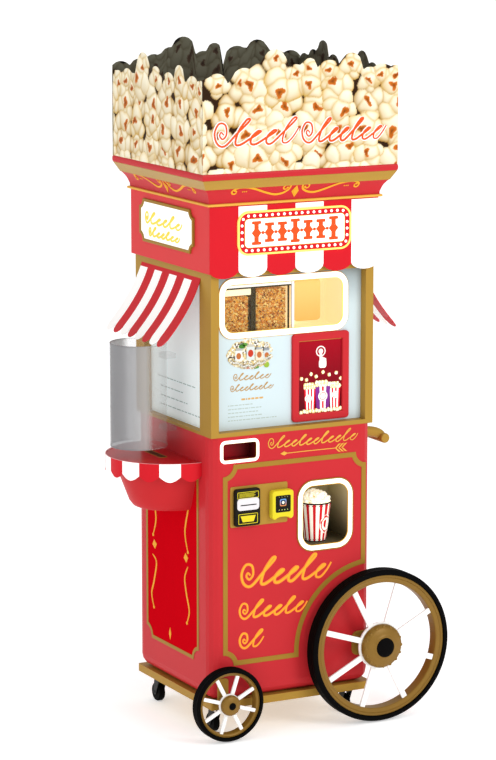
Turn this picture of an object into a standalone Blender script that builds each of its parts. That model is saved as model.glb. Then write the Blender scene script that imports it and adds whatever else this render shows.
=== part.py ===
"""Popcorn vending cart: a red cabinet on castors, with two wagon wheels, awnings and a popcorn crown.

Metres, +Z up. X runs to the right of someone facing the cart, Y runs to its back. Every piece is placed
from the middle of the cabinet's footprint; one empty then moves the cart over the middle of its overall box.
"""
import math

import bmesh
import bpy
from mathutils import Matrix, Vector

# Gaps
GAP = 0.0003                 # between pieces that touch
SLIDE_GAP = 0.001            # between pieces that slide or turn on each other

# Cabinet
CABINET_WIDTH = 0.700
CABINET_DEPTH = 0.652
BASE_BOTTOM = 0.116
BASE_THICKNESS = 0.030
LOWER_TOP = 1.178            # top of the red lower cabinet
CORNER_RADIUS = 0.050
SHEET = 0.003                # sheet-metal wall

# Gold upper frame and its recessed panels
FRAME_TOP = 1.805
POST_WIDTH = 0.033
FRONT_BAY_BOTTOM = 1.195
FRONT_BAY_TOP = 1.788
SIDE_BAY_FRONT = 0.096 - CABINET_DEPTH / 2     # the front post is wider than the back one
SIDE_BAY_BACK = CABINET_DEPTH / 2 - 0.075
SIDE_BAY_BOTTOM = 1.190
SIDE_BAY_TOP = 1.779
FRONT_RECESS = 0.038
SIDE_RECESS = 0.030
PANEL_THICKNESS = 0.006

# Header, bead, cove and crown, as overhangs past the cabinet
HEADER_OVERHANG = 0.013
HEADER_TOP = 2.060
BEAD_OVERHANG = 0.024
BEAD_TOP = 2.070
COVE_BOTTOM_OVERHANG = 0.015
COVE_CURVE = ((0.019, 2.090), (0.028, 2.110), (0.045, 2.130))    # overhang and height up the hollow curve
COVE_TOP_OVERHANG = 0.064
CROWN_OVERHANG = 0.0665
CROWN_BOTTOM = 2.163
CROWN_TOP = 2.187
TOPPER_THICKNESS = 0.005
TOPPER_INSET = 0.001
VALANCE_STRIPES = 6
VALANCE_NOTCH = 1.818
VALANCE_LOW = 1.786

# Lobes of the popcorn panels' cut edge: place along the panel, height of the lobe's top, radius
FRONT_LOBES = ((-0.400, 2.540, 0.030), (-0.355, 2.558, 0.045), (-0.242, 2.575, 0.055), (-0.178, 2.590, 0.040),
               (-0.114, 2.639, 0.050), (-0.026, 2.581, 0.050), (0.034, 2.602, 0.032), (0.118, 2.592, 0.060),
               (0.213, 2.616, 0.045), (0.290, 2.560, 0.040), (0.345, 2.571, 0.055), (0.402, 2.563, 0.035))
BACK_LOBES = ((-0.380, 2.553, 0.050), (-0.300, 2.560, 0.045), (-0.237, 2.575, 0.045), (-0.165, 2.600, 0.045),
              (-0.108, 2.639, 0.050), (-0.020, 2.580, 0.050), (0.029, 2.610, 0.035), (0.129, 2.595, 0.060),
              (0.220, 2.617, 0.050), (0.300, 2.575, 0.050), (0.370, 2.570, 0.055))
LEFT_LOBES = ((0.345, 2.522, 0.045), (0.260, 2.535, 0.050), (0.120, 2.605, 0.055), (0.010, 2.560, 0.050),
              (-0.100, 2.545, 0.055), (-0.190, 2.578, 0.040), (-0.300, 2.545, 0.055), (-0.365, 2.533, 0.040))
RIGHT_LOBES = ((0.345, 2.560, 0.045), (0.270, 2.580, 0.045), (0.191, 2.620, 0.045), (0.108, 2.570, 0.050),
               (-0.012, 2.565, 0.060), (-0.120, 2.600, 0.045), (-0.200, 2.560, 0.050), (-0.290, 2.550, 0.055),
               (-0.365, 2.560, 0.045))
LOBE_SPACING = 0.015         # distance between points on a panel's cut edge
LOBE_FLOOR = 2.520           # lowest dip between two lobes

# Signs
MARQUEE = (-0.248, 0.238, 1.869, 2.036)      # low and high X, low and high Z
MARQUEE_RADIUS = 0.045
MARQUEE_THICKNESS = 0.010
SIDE_SIGN = (-0.218, 0.247, 1.867, 2.035)    # low and high Y, low and high Z
SIDE_SIGN_NOTCH = 0.030
SIDE_SIGN_THICKNESS = 0.008

# Kernel window, in the upper front panel
KERNEL_WINDOW = (-0.300, 0.258, 1.5455, 1.778)
KERNEL_WINDOW_RADIUS = 0.060
KERNEL_RING_WIDTH = 0.024
KERNEL_RING_THICKNESS = 0.008
PANE_THICKNESS = 0.004
LINER_DEPTH = CABINET_DEPTH / 2 - 0.136
BIN_WALL = 0.003
BIN_DEPTH = 0.120
KERNEL_BINS = {"kernel_bin_left": (-0.288, -0.154, 1.706), "kernel_bin_right": (-0.130, 0.006, 1.728)}

# Touch screen
SCREEN_BEZEL = (0.013, 0.260, 1.203, 1.5445)
SCREEN = (0.042, 0.238, 1.227, 1.516)
SCREEN_BEZEL_THICKNESS = 0.012
SCREEN_THICKNESS = 0.006

# Flavour-bag slot
BAG_SLOT = (-0.313, -0.147, 1.077, 1.165)
BAG_SLOT_RADIUS = 0.022
BAG_SLOT_RING = 0.012
BAG_SLOT_DEPTH = 0.060

# Payment panel
PAYMENT_PLATE = (-0.271, -0.025, 0.826, 0.984)
PLATE_THICKNESS = 0.003
BILL_BEZEL = (-0.258, -0.151, 0.831, 0.975)
BILL_BEZEL_PROUD = 0.022
BILL_BODY_INSET = 0.012
BILL_BODY_DEPTH = 0.120
BILL_MOUTH_WIDTH = 0.072
BILL_MOUTH_HEIGHT = 0.008
BILL_MOUTH_DEPTH = 0.060
BILL_MOUTH_Z = 0.913
CARD_READER = (-0.104, -0.012, 0.845, 0.957)
CARD_READER_PROUD = 0.028
CARD_BODY_INSET = 0.015
CARD_BODY_DEPTH = 0.060

# Pickup window, box, shutter and cup
PICKUP_WINDOW = (0.018, 0.265, 0.696, 0.978)
PICKUP_RADIUS = 0.070
PICKUP_RING_WIDTH = 0.025
PICKUP_RING_THICKNESS = 0.005
PICKUP_BOX_DEPTH = 0.195
SHUTTER_THICKNESS = 0.004
SHUTTER_HEIGHT = 0.270
SHUTTER_TRAVEL = 0.285
SHUTTER_RAIL = 0.006
CUP_X = 0.140
CUP_Y = 0.076 - CABINET_DEPTH / 2
CUP_BASE_RADIUS = 0.042
CUP_RIM_RADIUS = 0.062
CUP_HEIGHT = 0.155
CUP_WALL = 0.0015
POPCORN_RISE = 0.062
POPCORN_DEPTH = 0.060

# Awnings
AWNING_FRONT = -0.240
AWNING_BACK = 0.269
AWNING_TOP = 1.778
AWNING_REACH = 0.165
AWNING_DROP = 0.252
AWNING_STRIPES = 8
AWNING_SCALLOP = 0.11        # depth of a scallop, as a share of the awning's length
AWNING_THICKNESS = 0.003

# Side tray, its bowl and the cup tube
TRAY_TOP = 1.070
TRAY_REACH = 0.266
TRAY_HALF_WIDTH = 0.246
TRAY_THICKNESS = 0.008
TRAY_LIP = 0.003
TRAY_STRIPES = 10
SKIRT_STRAIGHT = 0.048
SKIRT_SCALLOP = 0.021
SKIRT_THICKNESS = 0.004
TRAY_SLOT_LENGTH = 0.140
TRAY_SLOT_WIDTH = 0.030
TRAY_SLOT_OUT = 0.078        # distance of the slot's middle from the cabinet wall
TRAY_SLOT_Y = -0.010
BOWL_TOP_REACH = 0.240
BOWL_BOTTOM_REACH = 0.165
BOWL_BOTTOM = 0.866
BOWL_WIDTH_RATIO = 0.92
BOWL_WALL = 0.003
TUBE_RADIUS = 0.110
TUBE_WALL = 0.004
TUBE_OUT = 0.146             # distance of the tube's middle from the cabinet wall
TUBE_BOTTOM = 1.110
TUBE_TOP = 1.512
TUBE_BRACKET_HEIGHT = 0.020
TUBE_BRACKET_WIDTH = 0.060

# Push handle
HANDLE_RADIUS = 0.0195
HANDLE_OUT = 0.104
HANDLE_Z = 1.093
HANDLE_LENGTH = 0.500
HANDLE_ROOT_Z = 1.122
HANDLE_ARM_RADIUS = 0.021
HANDLE_ARM_INSET = 0.036     # from the bar's end to the arm's middle

# Rear service door
DOOR_OPENING = (-0.280, 0.280, 0.210, 1.100)
DOOR = (-0.300, 0.300, 0.190, 1.120)
DOOR_THICKNESS = 0.004
HINGE_X = -0.306
HINGE_OUT = 0.0065
HINGE_RADIUS = 0.005
HINGE_BARREL = 0.038
HINGE_INSET = 0.012         # from the door's ends to the cabinet's barrels
LOCK_X = 0.260
LOCK_Z = 0.655
LOCK_RADIUS = 0.009
LOCK_CAM_LENGTH = 0.050

# Wagon wheels. Tyre and rim are depths along the radius, nose is how far the hub stands out of the wheel,
# and strap is how far the axle's strap goes to the left of the hub's middle and above it.
BIG_WHEEL = {"name": "big_wheel", "x": 0.348, "z": 0.307, "radius": 0.303, "tyre": 0.021, "rim": 0.032,
             "hub": 0.087, "cap": 0.035, "width": 0.062, "back_gap": 0.028, "nose": 0.034, "spoke": 0.022, "strap": (0.086, 0.048)}
SMALL_WHEEL = {"name": "small_wheel", "x": -0.304, "z": 0.149, "radius": 0.144, "tyre": 0.016, "rim": 0.014,
               "hub": 0.040, "cap": 0.013, "width": 0.046, "back_gap": 0.024, "nose": 0.018, "spoke": 0.014, "strap": (0.022, 0.090)}
WHEEL_SPOKES = 8
SPOKE_TURN = 27.0            # degrees from +X to the first spoke
SPOKE_THICKNESS = 0.008
AXLE_RADIUS_SHARE = 0.4      # axle radius, as a share of the hub cap's radius
AXLE_STRAP_THICKNESS = 0.006

# Castors
CASTOR_X = 0.290
CASTOR_Y = 0.240
CASTOR_WHEEL_RADIUS = 0.0375
CASTOR_WHEEL_WIDTH = 0.026
CASTOR_TRAIL = 0.024
CASTOR_LEG_GAP = 0.002
CASTOR_LEG = 0.003
CASTOR_HEAD_RADIUS = 0.028
CASTOR_HEAD = 0.010
CASTOR_STEM_RADIUS = 0.008
CASTOR_STEM = 0.024
CASTOR_PIN_RADIUS = 0.005
CASTOR_PLACES = {"front_left": (-1, -1), "front_right": (1, -1), "back_left": (-1, 1), "back_right": (1, 1)}

# Inside: popping kettle, stirrer and controller box
KETTLE_X = -0.110
KETTLE_Y = CABINET_DEPTH / 2 - 0.206
KETTLE_RADIUS = 0.130
KETTLE_HEIGHT = 0.290
KETTLE_BOWL_DEPTH = 0.110
KETTLE_WALL = 0.006
STIRRER_SHAFT_RADIUS = 0.008
STIRRER_BLADE_HEIGHT = 0.012
CONTROLLER_SIZE = (0.120, 0.240, 0.320)
CONTROLLER_BACK = -0.180     # Y of the controller box's front

# Worked out from the sizes above
HALF_WIDTH = CABINET_WIDTH / 2
HALF_DEPTH = CABINET_DEPTH / 2
BASE_TOP = BASE_BOTTOM + BASE_THICKNESS
HEADER_X = HALF_WIDTH + HEADER_OVERHANG
HEADER_Y = HALF_DEPTH + HEADER_OVERHANG
CROWN_X = HALF_WIDTH + CROWN_OVERHANG
CROWN_Y = HALF_DEPTH + CROWN_OVERHANG
PANEL_Y = -HALF_DEPTH + FRONT_RECESS          # front of the recessed front panel
PANEL_BACK = PANEL_Y + PANEL_THICKNESS
WALL_Y = -HALF_DEPTH - GAP                    # what is fixed on the cabinet's front starts here
BIG_WHEEL_NOSE = HALF_DEPTH + BIG_WHEEL["back_gap"] + BIG_WHEEL["width"] + BIG_WHEEL["nose"]
LEFT_REACH = HALF_WIDTH + GAP + TRAY_REACH
RIGHT_REACH = BIG_WHEEL["x"] + BIG_WHEEL["radius"]
CENTRE_SHIFT = Vector(((LEFT_REACH - RIGHT_REACH) / 2, (BIG_WHEEL_NOSE - CROWN_Y) / 2, 0.0))

# Colours: red, green and blue, roughness, metallic
PAINTS = {
    "red_paint": ((0.55, 0.02, 0.035), 0.4, 0.0),
    "gold_paint": ((0.30, 0.17, 0.03), 0.4, 0.3),
    "pale_panel": ((0.70, 0.84, 0.86), 0.5, 0.0),
    "white_gloss": ((0.85, 0.85, 0.83), 0.3, 0.0),
    "red_gloss": ((0.60, 0.02, 0.03), 0.3, 0.0),
    "popcorn_print": ((0.85, 0.72, 0.42), 0.5, 0.0),
    "lit_white": ((0.95, 0.88, 0.70), 0.4, 0.0),
    "clear": ((0.80, 0.84, 0.86), 0.1, 0.0),
    "dark_glass": ((0.10, 0.01, 0.02), 0.1, 0.0),
    "black_plastic": ((0.02, 0.02, 0.02), 0.5, 0.0),
    "yellow_plastic": ((0.60, 0.42, 0.03), 0.4, 0.0),
    "black_rubber": ((0.01, 0.01, 0.01), 0.8, 0.0),
    "castor_metal": ((0.10, 0.10, 0.10), 0.4, 0.8),
    "steel": ((0.50, 0.50, 0.50), 0.3, 1.0),
    "paper": ((0.80, 0.30, 0.28), 0.6, 0.0),
    "popcorn": ((0.90, 0.82, 0.55), 0.7, 0.0),
}


# ---------------------------------------------------------------- scene helpers

def clear_scene():
    for obj in list(bpy.data.objects):
        bpy.data.objects.remove(obj, do_unlink=True)


def make_collection(name):
    collection = bpy.data.collections.new(name)
    bpy.context.scene.collection.children.link(collection)
    return collection


clear_scene()
PARTS = make_collection("popcorn_cart")
CUTTERS = make_collection("cutters")
ORIGIN = bpy.data.objects.new("cart_origin", None)
ORIGIN.location = CENTRE_SHIFT
PARTS.objects.link(ORIGIN)


def make_material(name, paint):
    colour, roughness, metallic = PAINTS[paint]
    material = bpy.data.materials.new(name)
    material.use_nodes = True
    shader = material.node_tree.nodes["Principled BSDF"]
    shader.inputs["Base Color"].default_value = (*colour, 1.0)
    shader.inputs["Roughness"].default_value = roughness
    shader.inputs["Metallic"].default_value = metallic
    return material


def place(obj, paint, pivot=(0, 0, 0), parent=None):
    """Link a piece, or a tool when it has no paint, and put its origin at the pivot."""
    if paint:
        PARTS.objects.link(obj)
        obj.data.materials.append(make_material(obj.name, paint))
    else:
        CUTTERS.objects.link(obj)
        obj.hide_render = True
        obj.display_type = "WIRE"
    pivot = Vector(pivot)
    obj.data.transform(Matrix.Translation(-pivot))
    parent_pivot = Vector(parent["pivot"]) if parent else Vector((0, 0, 0))
    obj["pivot"] = tuple(pivot)
    obj.parent = parent or ORIGIN
    obj.location = pivot - parent_pivot
    return obj


def mesh_object(name, bm):
    bmesh.ops.recalc_face_normals(bm, faces=bm.faces)
    mesh = bpy.data.meshes.new(name)
    bm.to_mesh(mesh)
    bm.free()
    return bpy.data.objects.new(name, mesh)


def curve_mesh(curve, name, matrix):
    """Turn a curve into a closed mesh, in place."""
    source = bpy.data.objects.new(name + "_curve", curve)
    CUTTERS.objects.link(source)
    evaluated = source.evaluated_get(bpy.context.evaluated_depsgraph_get())
    mesh = bpy.data.meshes.new_from_object(evaluated)
    bpy.data.objects.remove(source, do_unlink=True)
    bm = bmesh.new()
    bm.from_mesh(mesh)
    bpy.data.meshes.remove(mesh)
    bmesh.ops.remove_doubles(bm, verts=bm.verts, dist=1e-6)
    bmesh.ops.transform(bm, matrix=matrix, verts=bm.verts)
    return mesh_object(name, bm)


# ---------------------------------------------------------------- shape helpers

def block(name, low, high, paint=None, **placing):
    bm = bmesh.new()
    bmesh.ops.create_cube(bm, size=1.0)
    low, high = Vector(low), Vector(high)
    matrix = Matrix.Translation((low + high) / 2) @ Matrix.Diagonal((*(high - low), 1.0))
    bmesh.ops.transform(bm, matrix=matrix, verts=bm.verts)
    return place(mesh_object(name, bm), paint, **placing)


def axis_matrix(axis):
    """Turn the Z axis of a round shape onto the named axis; FRONT is -Y."""
    turns = {"Z": Matrix.Identity(4), "FRONT": Matrix.Rotation(math.pi / 2, 4, "X"),
             "X": Matrix.Rotation(math.pi / 2, 4, "Y")}
    return turns[axis]


def cylinder(name, centre, radius, length, axis, paint=None, segments=20, **placing):
    bm = bmesh.new()
    bmesh.ops.create_cone(bm, cap_ends=True, segments=segments, radius1=radius, radius2=radius, depth=length)
    bmesh.ops.transform(bm, matrix=Matrix.Translation(centre) @ axis_matrix(axis), verts=bm.verts)
    return place(mesh_object(name, bm), paint, **placing)


PLANES = {
    "front": lambda middle: Matrix(((1, 0, 0, 0), (0, 0, -1, middle), (0, 1, 0, 0), (0, 0, 0, 1))),
    "side": lambda middle: Matrix(((0, 0, 1, middle), (1, 0, 0, 0), (0, 1, 0, 0), (0, 0, 0, 1))),
    "flat": lambda middle: Matrix.Translation((0, 0, middle)),
}


def plate(name, outline, low, high, plane, paint=None, holes=(), **placing):
    """A flat outline with holes, from low to high across its plane."""
    curve = bpy.data.curves.new(name, "CURVE")
    curve.dimensions = "2D"
    curve.fill_mode = "BOTH"
    curve.extrude = (high - low) / 2
    for points in (outline, *holes):
        spline = curve.splines.new("POLY")
        spline.points.add(len(points) - 1)
        for point, (along, up) in zip(spline.points, points):
            point.co = (along, up, 0, 1)
        spline.use_cyclic_u = True
    return place(curve_mesh(curve, name, PLANES[plane]((low + high) / 2)), paint, **placing)


def rod(name, points, radius, paint=None, **placing):
    """A round bar along a list of points."""
    curve = bpy.data.curves.new(name, "CURVE")
    curve.dimensions = "3D"
    curve.bevel_depth = radius
    curve.bevel_resolution = 2
    curve.use_fill_caps = True
    spline = curve.splines.new("POLY")
    spline.points.add(len(points) - 1)
    for point, place_at in zip(spline.points, points):
        point.co = (*place_at, 1)
    return place(curve_mesh(curve, name, Matrix.Identity(4)), paint, **placing)


def turned(name, profile, centre, axis, paint=None, segments=24, closed=False, parent=None):
    """A turned piece: profile is radius and height, down the outer side; height runs along the axis."""
    mesh = bpy.data.meshes.new(name)
    points = [(radius, 0.0, height) for radius, height in profile]
    edges = [(i, i + 1) for i in range(len(points) - 1)]
    if closed:
        edges.append((len(points) - 1, 0))
    mesh.from_pydata(points, edges, [])
    obj = bpy.data.objects.new(name, mesh)
    place(obj, paint)
    obj["pivot"] = tuple(centre)
    parent_pivot = Vector(parent["pivot"]) if parent else Vector((0, 0, 0))
    obj.parent = parent or ORIGIN
    obj.location = Vector(centre) - parent_pivot
    obj.rotation_euler = axis_matrix(axis).to_euler()
    screw = obj.modifiers.new("turn", "SCREW")
    screw.steps = segments
    screw.render_steps = segments
    screw.use_merge_vertices = True
    screw.merge_threshold = 0.00001
    return obj


def boolean(obj, tool, operation):
    modifier = obj.modifiers.new(tool.name, "BOOLEAN")
    modifier.operation = operation
    modifier.object = tool
    modifier.solver = "EXACT"


def cut(obj, *tools):
    for tool in tools:
        boolean(obj, tool, "DIFFERENCE")
    return obj


def join(obj, *tools):
    for tool in tools:
        boolean(obj, tool, "UNION")
    return obj


def round_edges(obj, width, segments=2):
    bevel = obj.modifiers.new("rounding", "BEVEL")
    bevel.width = width
    bevel.segments = segments
    bevel.limit_method = "ANGLE"
    return obj


def rounded_rect(box, radius, inset=0.0, steps=4):
    """Outline of a rectangle (low and high across, low and high up) with round corners."""
    low_x, high_x, low_y, high_y = box[0] + inset, box[1] - inset, box[2] + inset, box[3] - inset
    radius = max(radius - inset, 0.001)
    corners = ((high_x - radius, high_y - radius, 0), (low_x + radius, high_y - radius, 90),
               (low_x + radius, low_y + radius, 180), (high_x - radius, low_y + radius, 270))
    points = []
    for centre_x, centre_y, start in corners:
        for step in range(steps + 1):
            angle = math.radians(start + 90 * step / steps)
            points.append((centre_x + radius * math.cos(angle), centre_y + radius * math.sin(angle)))
    return points


def rect(box, inset=0.0):
    low_x, high_x, low_y, high_y = box[0] + inset, box[1] - inset, box[2] + inset, box[3] - inset
    return [(low_x, low_y), (high_x, low_y), (high_x, high_y), (low_x, high_y)]


def notched_rect(box, notch, steps=5):
    """A rectangle whose corners are cut by quarter circles curving inwards."""
    low_x, high_x, low_y, high_y = box
    corners = ((high_x, high_y, 270, -1), (low_x, high_y, 0, -1), (low_x, low_y, 90, -1), (high_x, low_y, 180, -1))
    points = []
    for centre_x, centre_y, start, turn in corners:
        for step in range(steps + 1):
            angle = math.radians(start + turn * 90 * step / steps)
            points.append((centre_x + notch * math.cos(angle), centre_y + notch * math.sin(angle)))
    return points


def circle(centre_x, centre_y, radius, steps=20):
    angles = [2 * math.pi * step / steps for step in range(steps)]
    return [(centre_x + radius * math.cos(a), centre_y + radius * math.sin(a)) for a in angles]


def half_ellipse(reach, half_width, steps=24):
    """A D shape standing off the left wall, from its back end round to its front end."""
    wall = -HALF_WIDTH - GAP
    angles = [math.pi / 2 - math.pi * step / steps for step in range(steps + 1)]
    return [(wall - reach * math.cos(a), half_width * math.sin(a)) for a in angles]


def box_front(box, low_y, high_y):
    """Low and high corners of a block from an X and Z rectangle."""
    return (box[0], low_y, box[2]), (box[1], high_y, box[3])


def grown(box, by):
    return box[0] - by, box[1] + by, box[2] - by, box[3] + by


# ---------------------------------------------------------------- cabinet

def make_base_plate():
    footprint = (-HALF_WIDTH, HALF_WIDTH, -HALF_DEPTH, HALF_DEPTH)
    holes = [circle(CASTOR_X * side, CASTOR_Y * end, CASTOR_STEM_RADIUS + SLIDE_GAP)
             for side, end in CASTOR_PLACES.values()]
    plate("base_plate", rounded_rect(footprint, 0.006, steps=2), BASE_BOTTOM, BASE_TOP, "flat", "gold_paint", holes)


def make_lower_cabinet():
    """A sheet-metal box, round at its uprights and its foot, open at the back and to the bay above."""
    bm = bmesh.new()
    bmesh.ops.create_cube(bm, size=1.0)
    bottom = BASE_TOP + GAP
    size = (CABINET_WIDTH, CABINET_DEPTH, LOWER_TOP - bottom, 1.0)
    middle = Matrix.Translation((0, 0, (LOWER_TOP + bottom) / 2))
    bmesh.ops.transform(bm, matrix=middle @ Matrix.Diagonal(size), verts=bm.verts)
    soft = [edge for edge in bm.edges if min(v.co.z for v in edge.verts) < bottom + 0.001]
    bmesh.ops.bevel(bm, geom=soft, offset=CORNER_RADIUS, segments=4, affect="EDGES", profile=0.5)
    cabinet = place(mesh_object("lower_cabinet", bm), "red_paint")
    shell = cabinet.modifiers.new("wall", "SOLIDIFY")
    shell.thickness = SHEET
    shell.offset = -1.0
    shell.use_even_offset = True
    front_low, front_high = -HALF_DEPTH - 0.02, -HALF_DEPTH + 0.02
    cut(cabinet,
        block("door_opening_cut", *box_front(DOOR_OPENING, HALF_DEPTH - 0.02, HALF_DEPTH + 0.02)),
        plate("pickup_cut", rounded_rect(PICKUP_WINDOW, PICKUP_RADIUS, PICKUP_RING_WIDTH - 0.003),
              front_low, front_high, "front"),
        plate("bag_slot_cut", rounded_rect(BAG_SLOT, BAG_SLOT_RADIUS, BAG_SLOT_RING - 0.0035),
              front_low, front_high, "front"),
        block("bill_cut", *box_front(grown(BILL_BEZEL, -BILL_BODY_INSET + SLIDE_GAP), front_low, front_high)),
        block("card_cut", *box_front(grown(CARD_READER, -CARD_BODY_INSET + SLIDE_GAP), front_low, front_high)),
        block("chute_cut", (-0.24, -0.24, LOWER_TOP - 0.02), (0.24, 0.24, LOWER_TOP + 0.02)))
    hinge_y = HALF_DEPTH + HINGE_OUT
    lowest, highest = hinge_span()
    for label, low in (("low", lowest), ("high", highest - HINGE_BARREL)):
        barrel_centre = (HINGE_X, hinge_y, low + HINGE_BARREL / 2)
        join(cabinet,
             cylinder("hinge_barrel_" + label, barrel_centre, HINGE_RADIUS, HINGE_BARREL, "Z", segments=12),
             block("hinge_leaf_" + label, (HINGE_X - 0.004, HALF_DEPTH - 0.001, low + 0.002),
                   (HINGE_X + 0.003, hinge_y, low + HINGE_BARREL - 0.002)))


def hinge_span():
    """Lowest and highest Z of the cabinet's two hinge barrels; the door's barrel fills the stretch between."""
    return DOOR[2] + HINGE_INSET, DOOR[3] - HINGE_INSET


def make_rear_door():
    pivot = (HINGE_X, HALF_DEPTH + HINGE_OUT, DOOR[2])
    inner = HALF_DEPTH + GAP
    outline = rounded_rect(DOOR, 0.002, steps=1)
    hole = circle(LOCK_X, LOCK_Z, LOCK_RADIUS + SLIDE_GAP)
    door = plate("rear_door", outline, inner, inner + DOOR_THICKNESS, "front", "red_paint", [hole], pivot=pivot)
    low, high = (end + way * (HINGE_BARREL + GAP) for end, way in zip(hinge_span(), (1, -1)))
    barrel_centre = (HINGE_X, HALF_DEPTH + HINGE_OUT, (low + high) / 2)
    join(door, cylinder("door_barrel", barrel_centre, HINGE_RADIUS, high - low, "Z", segments=12),
         block("door_leaf", (HINGE_X, inner, low + 0.002), (DOOR[0] + 0.004, inner + DOOR_THICKNESS, high - 0.002)))
    return door


def make_door_lock(door):
    """A quarter-turn lock: a grip outside, a shaft through the door and a cam that hangs inside."""
    outer = HALF_DEPTH + GAP + DOOR_THICKNESS + SLIDE_GAP
    inner = HALF_DEPTH - SHEET - 0.010
    shaft_length = outer + 0.010 - inner
    centre = (LOCK_X, inner + shaft_length / 2, LOCK_Z)
    pivot = (LOCK_X, outer, LOCK_Z)
    lock = cylinder("door_lock", centre, LOCK_RADIUS, shaft_length, "FRONT", "steel", pivot=pivot, parent=door)
    join(lock,
         round_edges(block("lock_grip", (LOCK_X - 0.010, outer, LOCK_Z - 0.035),
                           (LOCK_X + 0.010, outer + 0.016, LOCK_Z + 0.035)), 0.003),
         block("lock_cam", (LOCK_X - 0.007, inner - 0.002, LOCK_Z - LOCK_CAM_LENGTH),
               (LOCK_X + 0.007, inner + 0.002, LOCK_Z + 0.007)))


def make_upper_frame():
    frame = block("upper_frame", (-HALF_WIDTH, -HALF_DEPTH, LOWER_TOP + GAP),
                  (HALF_WIDTH, HALF_DEPTH, FRAME_TOP - GAP), "gold_paint")
    inner_x = HALF_WIDTH - POST_WIDTH
    cut(frame,
        block("front_bay_cut", (-inner_x, -1, FRONT_BAY_BOTTOM), (inner_x, 1, FRONT_BAY_TOP)),
        block("side_bay_cut", (-1, SIDE_BAY_FRONT, SIDE_BAY_BOTTOM), (1, SIDE_BAY_BACK, SIDE_BAY_TOP)),
        block("frame_well_cut", (0.03, -0.24, 1.0), (0.24, 0.22, 2.0)))


def make_panels():
    inner_x = HALF_WIDTH - POST_WIDTH - GAP
    opening = (-inner_x, inner_x, FRONT_BAY_BOTTOM + GAP, FRONT_BAY_TOP - GAP)
    window = rounded_rect(KERNEL_WINDOW, KERNEL_WINDOW_RADIUS, KERNEL_RING_WIDTH - 0.006)
    plate("front_panel", rect(opening), PANEL_Y, PANEL_BACK, "front", "pale_panel", [window])
    side = (SIDE_BAY_FRONT + GAP, SIDE_BAY_BACK - GAP, SIDE_BAY_BOTTOM + GAP, SIDE_BAY_TOP - GAP)
    outer = HALF_WIDTH - SIDE_RECESS
    plate("left_panel", rect(side), -outer, -outer + PANEL_THICKNESS, "side", "pale_panel")
    plate("right_panel", rect(side), outer - PANEL_THICKNESS, outer, "side", "pale_panel")
    rear = (-inner_x - 0.015, inner_x + 0.015, FRONT_BAY_BOTTOM - 0.010, FRONT_BAY_TOP + 0.010)
    low = HALF_DEPTH + GAP
    plate("upper_rear_panel", rounded_rect(rear, 0.006, steps=2), low, low + SHEET, "front", "red_paint")


# ---------------------------------------------------------------- header and crown

def make_header():
    header = block("header_box", (-HEADER_X, -HEADER_Y, FRAME_TOP), (HEADER_X, HEADER_Y, HEADER_TOP - GAP),
                   "red_paint")
    round_edges(header, 0.002, 1)
    inner_x, inner_y = HEADER_X - SHEET, HEADER_Y - SHEET
    cut(header, block("header_hollow", (-inner_x, -inner_y, FRAME_TOP - 0.1), (inner_x, inner_y, HEADER_TOP - SHEET)))
    scallop_width = 2 * HEADER_X / VALANCE_STRIPES
    drop = VALANCE_NOTCH - VALANCE_LOW
    outline = [(HEADER_X, HEADER_TOP - 0.005), (-HEADER_X, HEADER_TOP - 0.005)]
    for stripe in range(VALANCE_STRIPES):
        centre = -HEADER_X + scallop_width * (stripe + 0.5)
        for step in range(1 if stripe else 0, 9):
            angle = math.pi * (1 - step / 8)
            outline.append((centre + scallop_width / 2 * math.cos(angle), VALANCE_NOTCH - drop * math.sin(angle)))
    front = -HEADER_Y - GAP
    plate("front_valance", outline, front - SHEET, front, "front", "red_gloss")
    sign_back = front - SHEET - GAP
    plate("marquee_sign", rounded_rect(MARQUEE, MARQUEE_RADIUS), sign_back - MARQUEE_THICKNESS, sign_back, "front",
          "white_gloss")
    sign = notched_rect(SIDE_SIGN, SIDE_SIGN_NOTCH)
    face = HEADER_X + GAP
    plate("left_sign", sign, -face - SIDE_SIGN_THICKNESS, -face, "side", "white_gloss")
    plate("right_sign", sign, face, face + SIDE_SIGN_THICKNESS, "side", "white_gloss")


def ring_box(overhang):
    reach_x, reach_y = HALF_WIDTH + overhang, HALF_DEPTH + overhang
    return -reach_x, reach_x, -reach_y, reach_y


def make_cove():
    """The flared frieze: rectangular rings that curve outwards up to a slanted band, hollow from end to end."""
    bottom, top = BEAD_TOP + GAP, CROWN_BOTTOM - GAP
    profile = ((COVE_BOTTOM_OVERHANG, bottom),) + COVE_CURVE + ((COVE_TOP_OVERHANG, top),)
    bm = bmesh.new()
    rings = []
    for overhang, height in profile:
        low_x, high_x, low_y, high_y = ring_box(overhang)
        corners = ((low_x, low_y), (high_x, low_y), (high_x, high_y), (low_x, high_y))
        rings.append([bm.verts.new((x, y, height)) for x, y in corners])
    for lower, upper in zip(rings, rings[1:]):
        for side in range(4):
            after = (side + 1) % 4
            bm.faces.new((lower[side], lower[after], upper[after], upper[side]))
    bm.faces.new(rings[0][::-1])
    bm.faces.new(rings[-1])
    cove = place(mesh_object("cove_frieze", bm), "red_paint")
    cut(cove, block("cove_hollow", (-HALF_WIDTH, -HALF_DEPTH, BEAD_TOP - 0.1),
                    (HALF_WIDTH, HALF_DEPTH, CROWN_BOTTOM + 0.1)))


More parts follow.
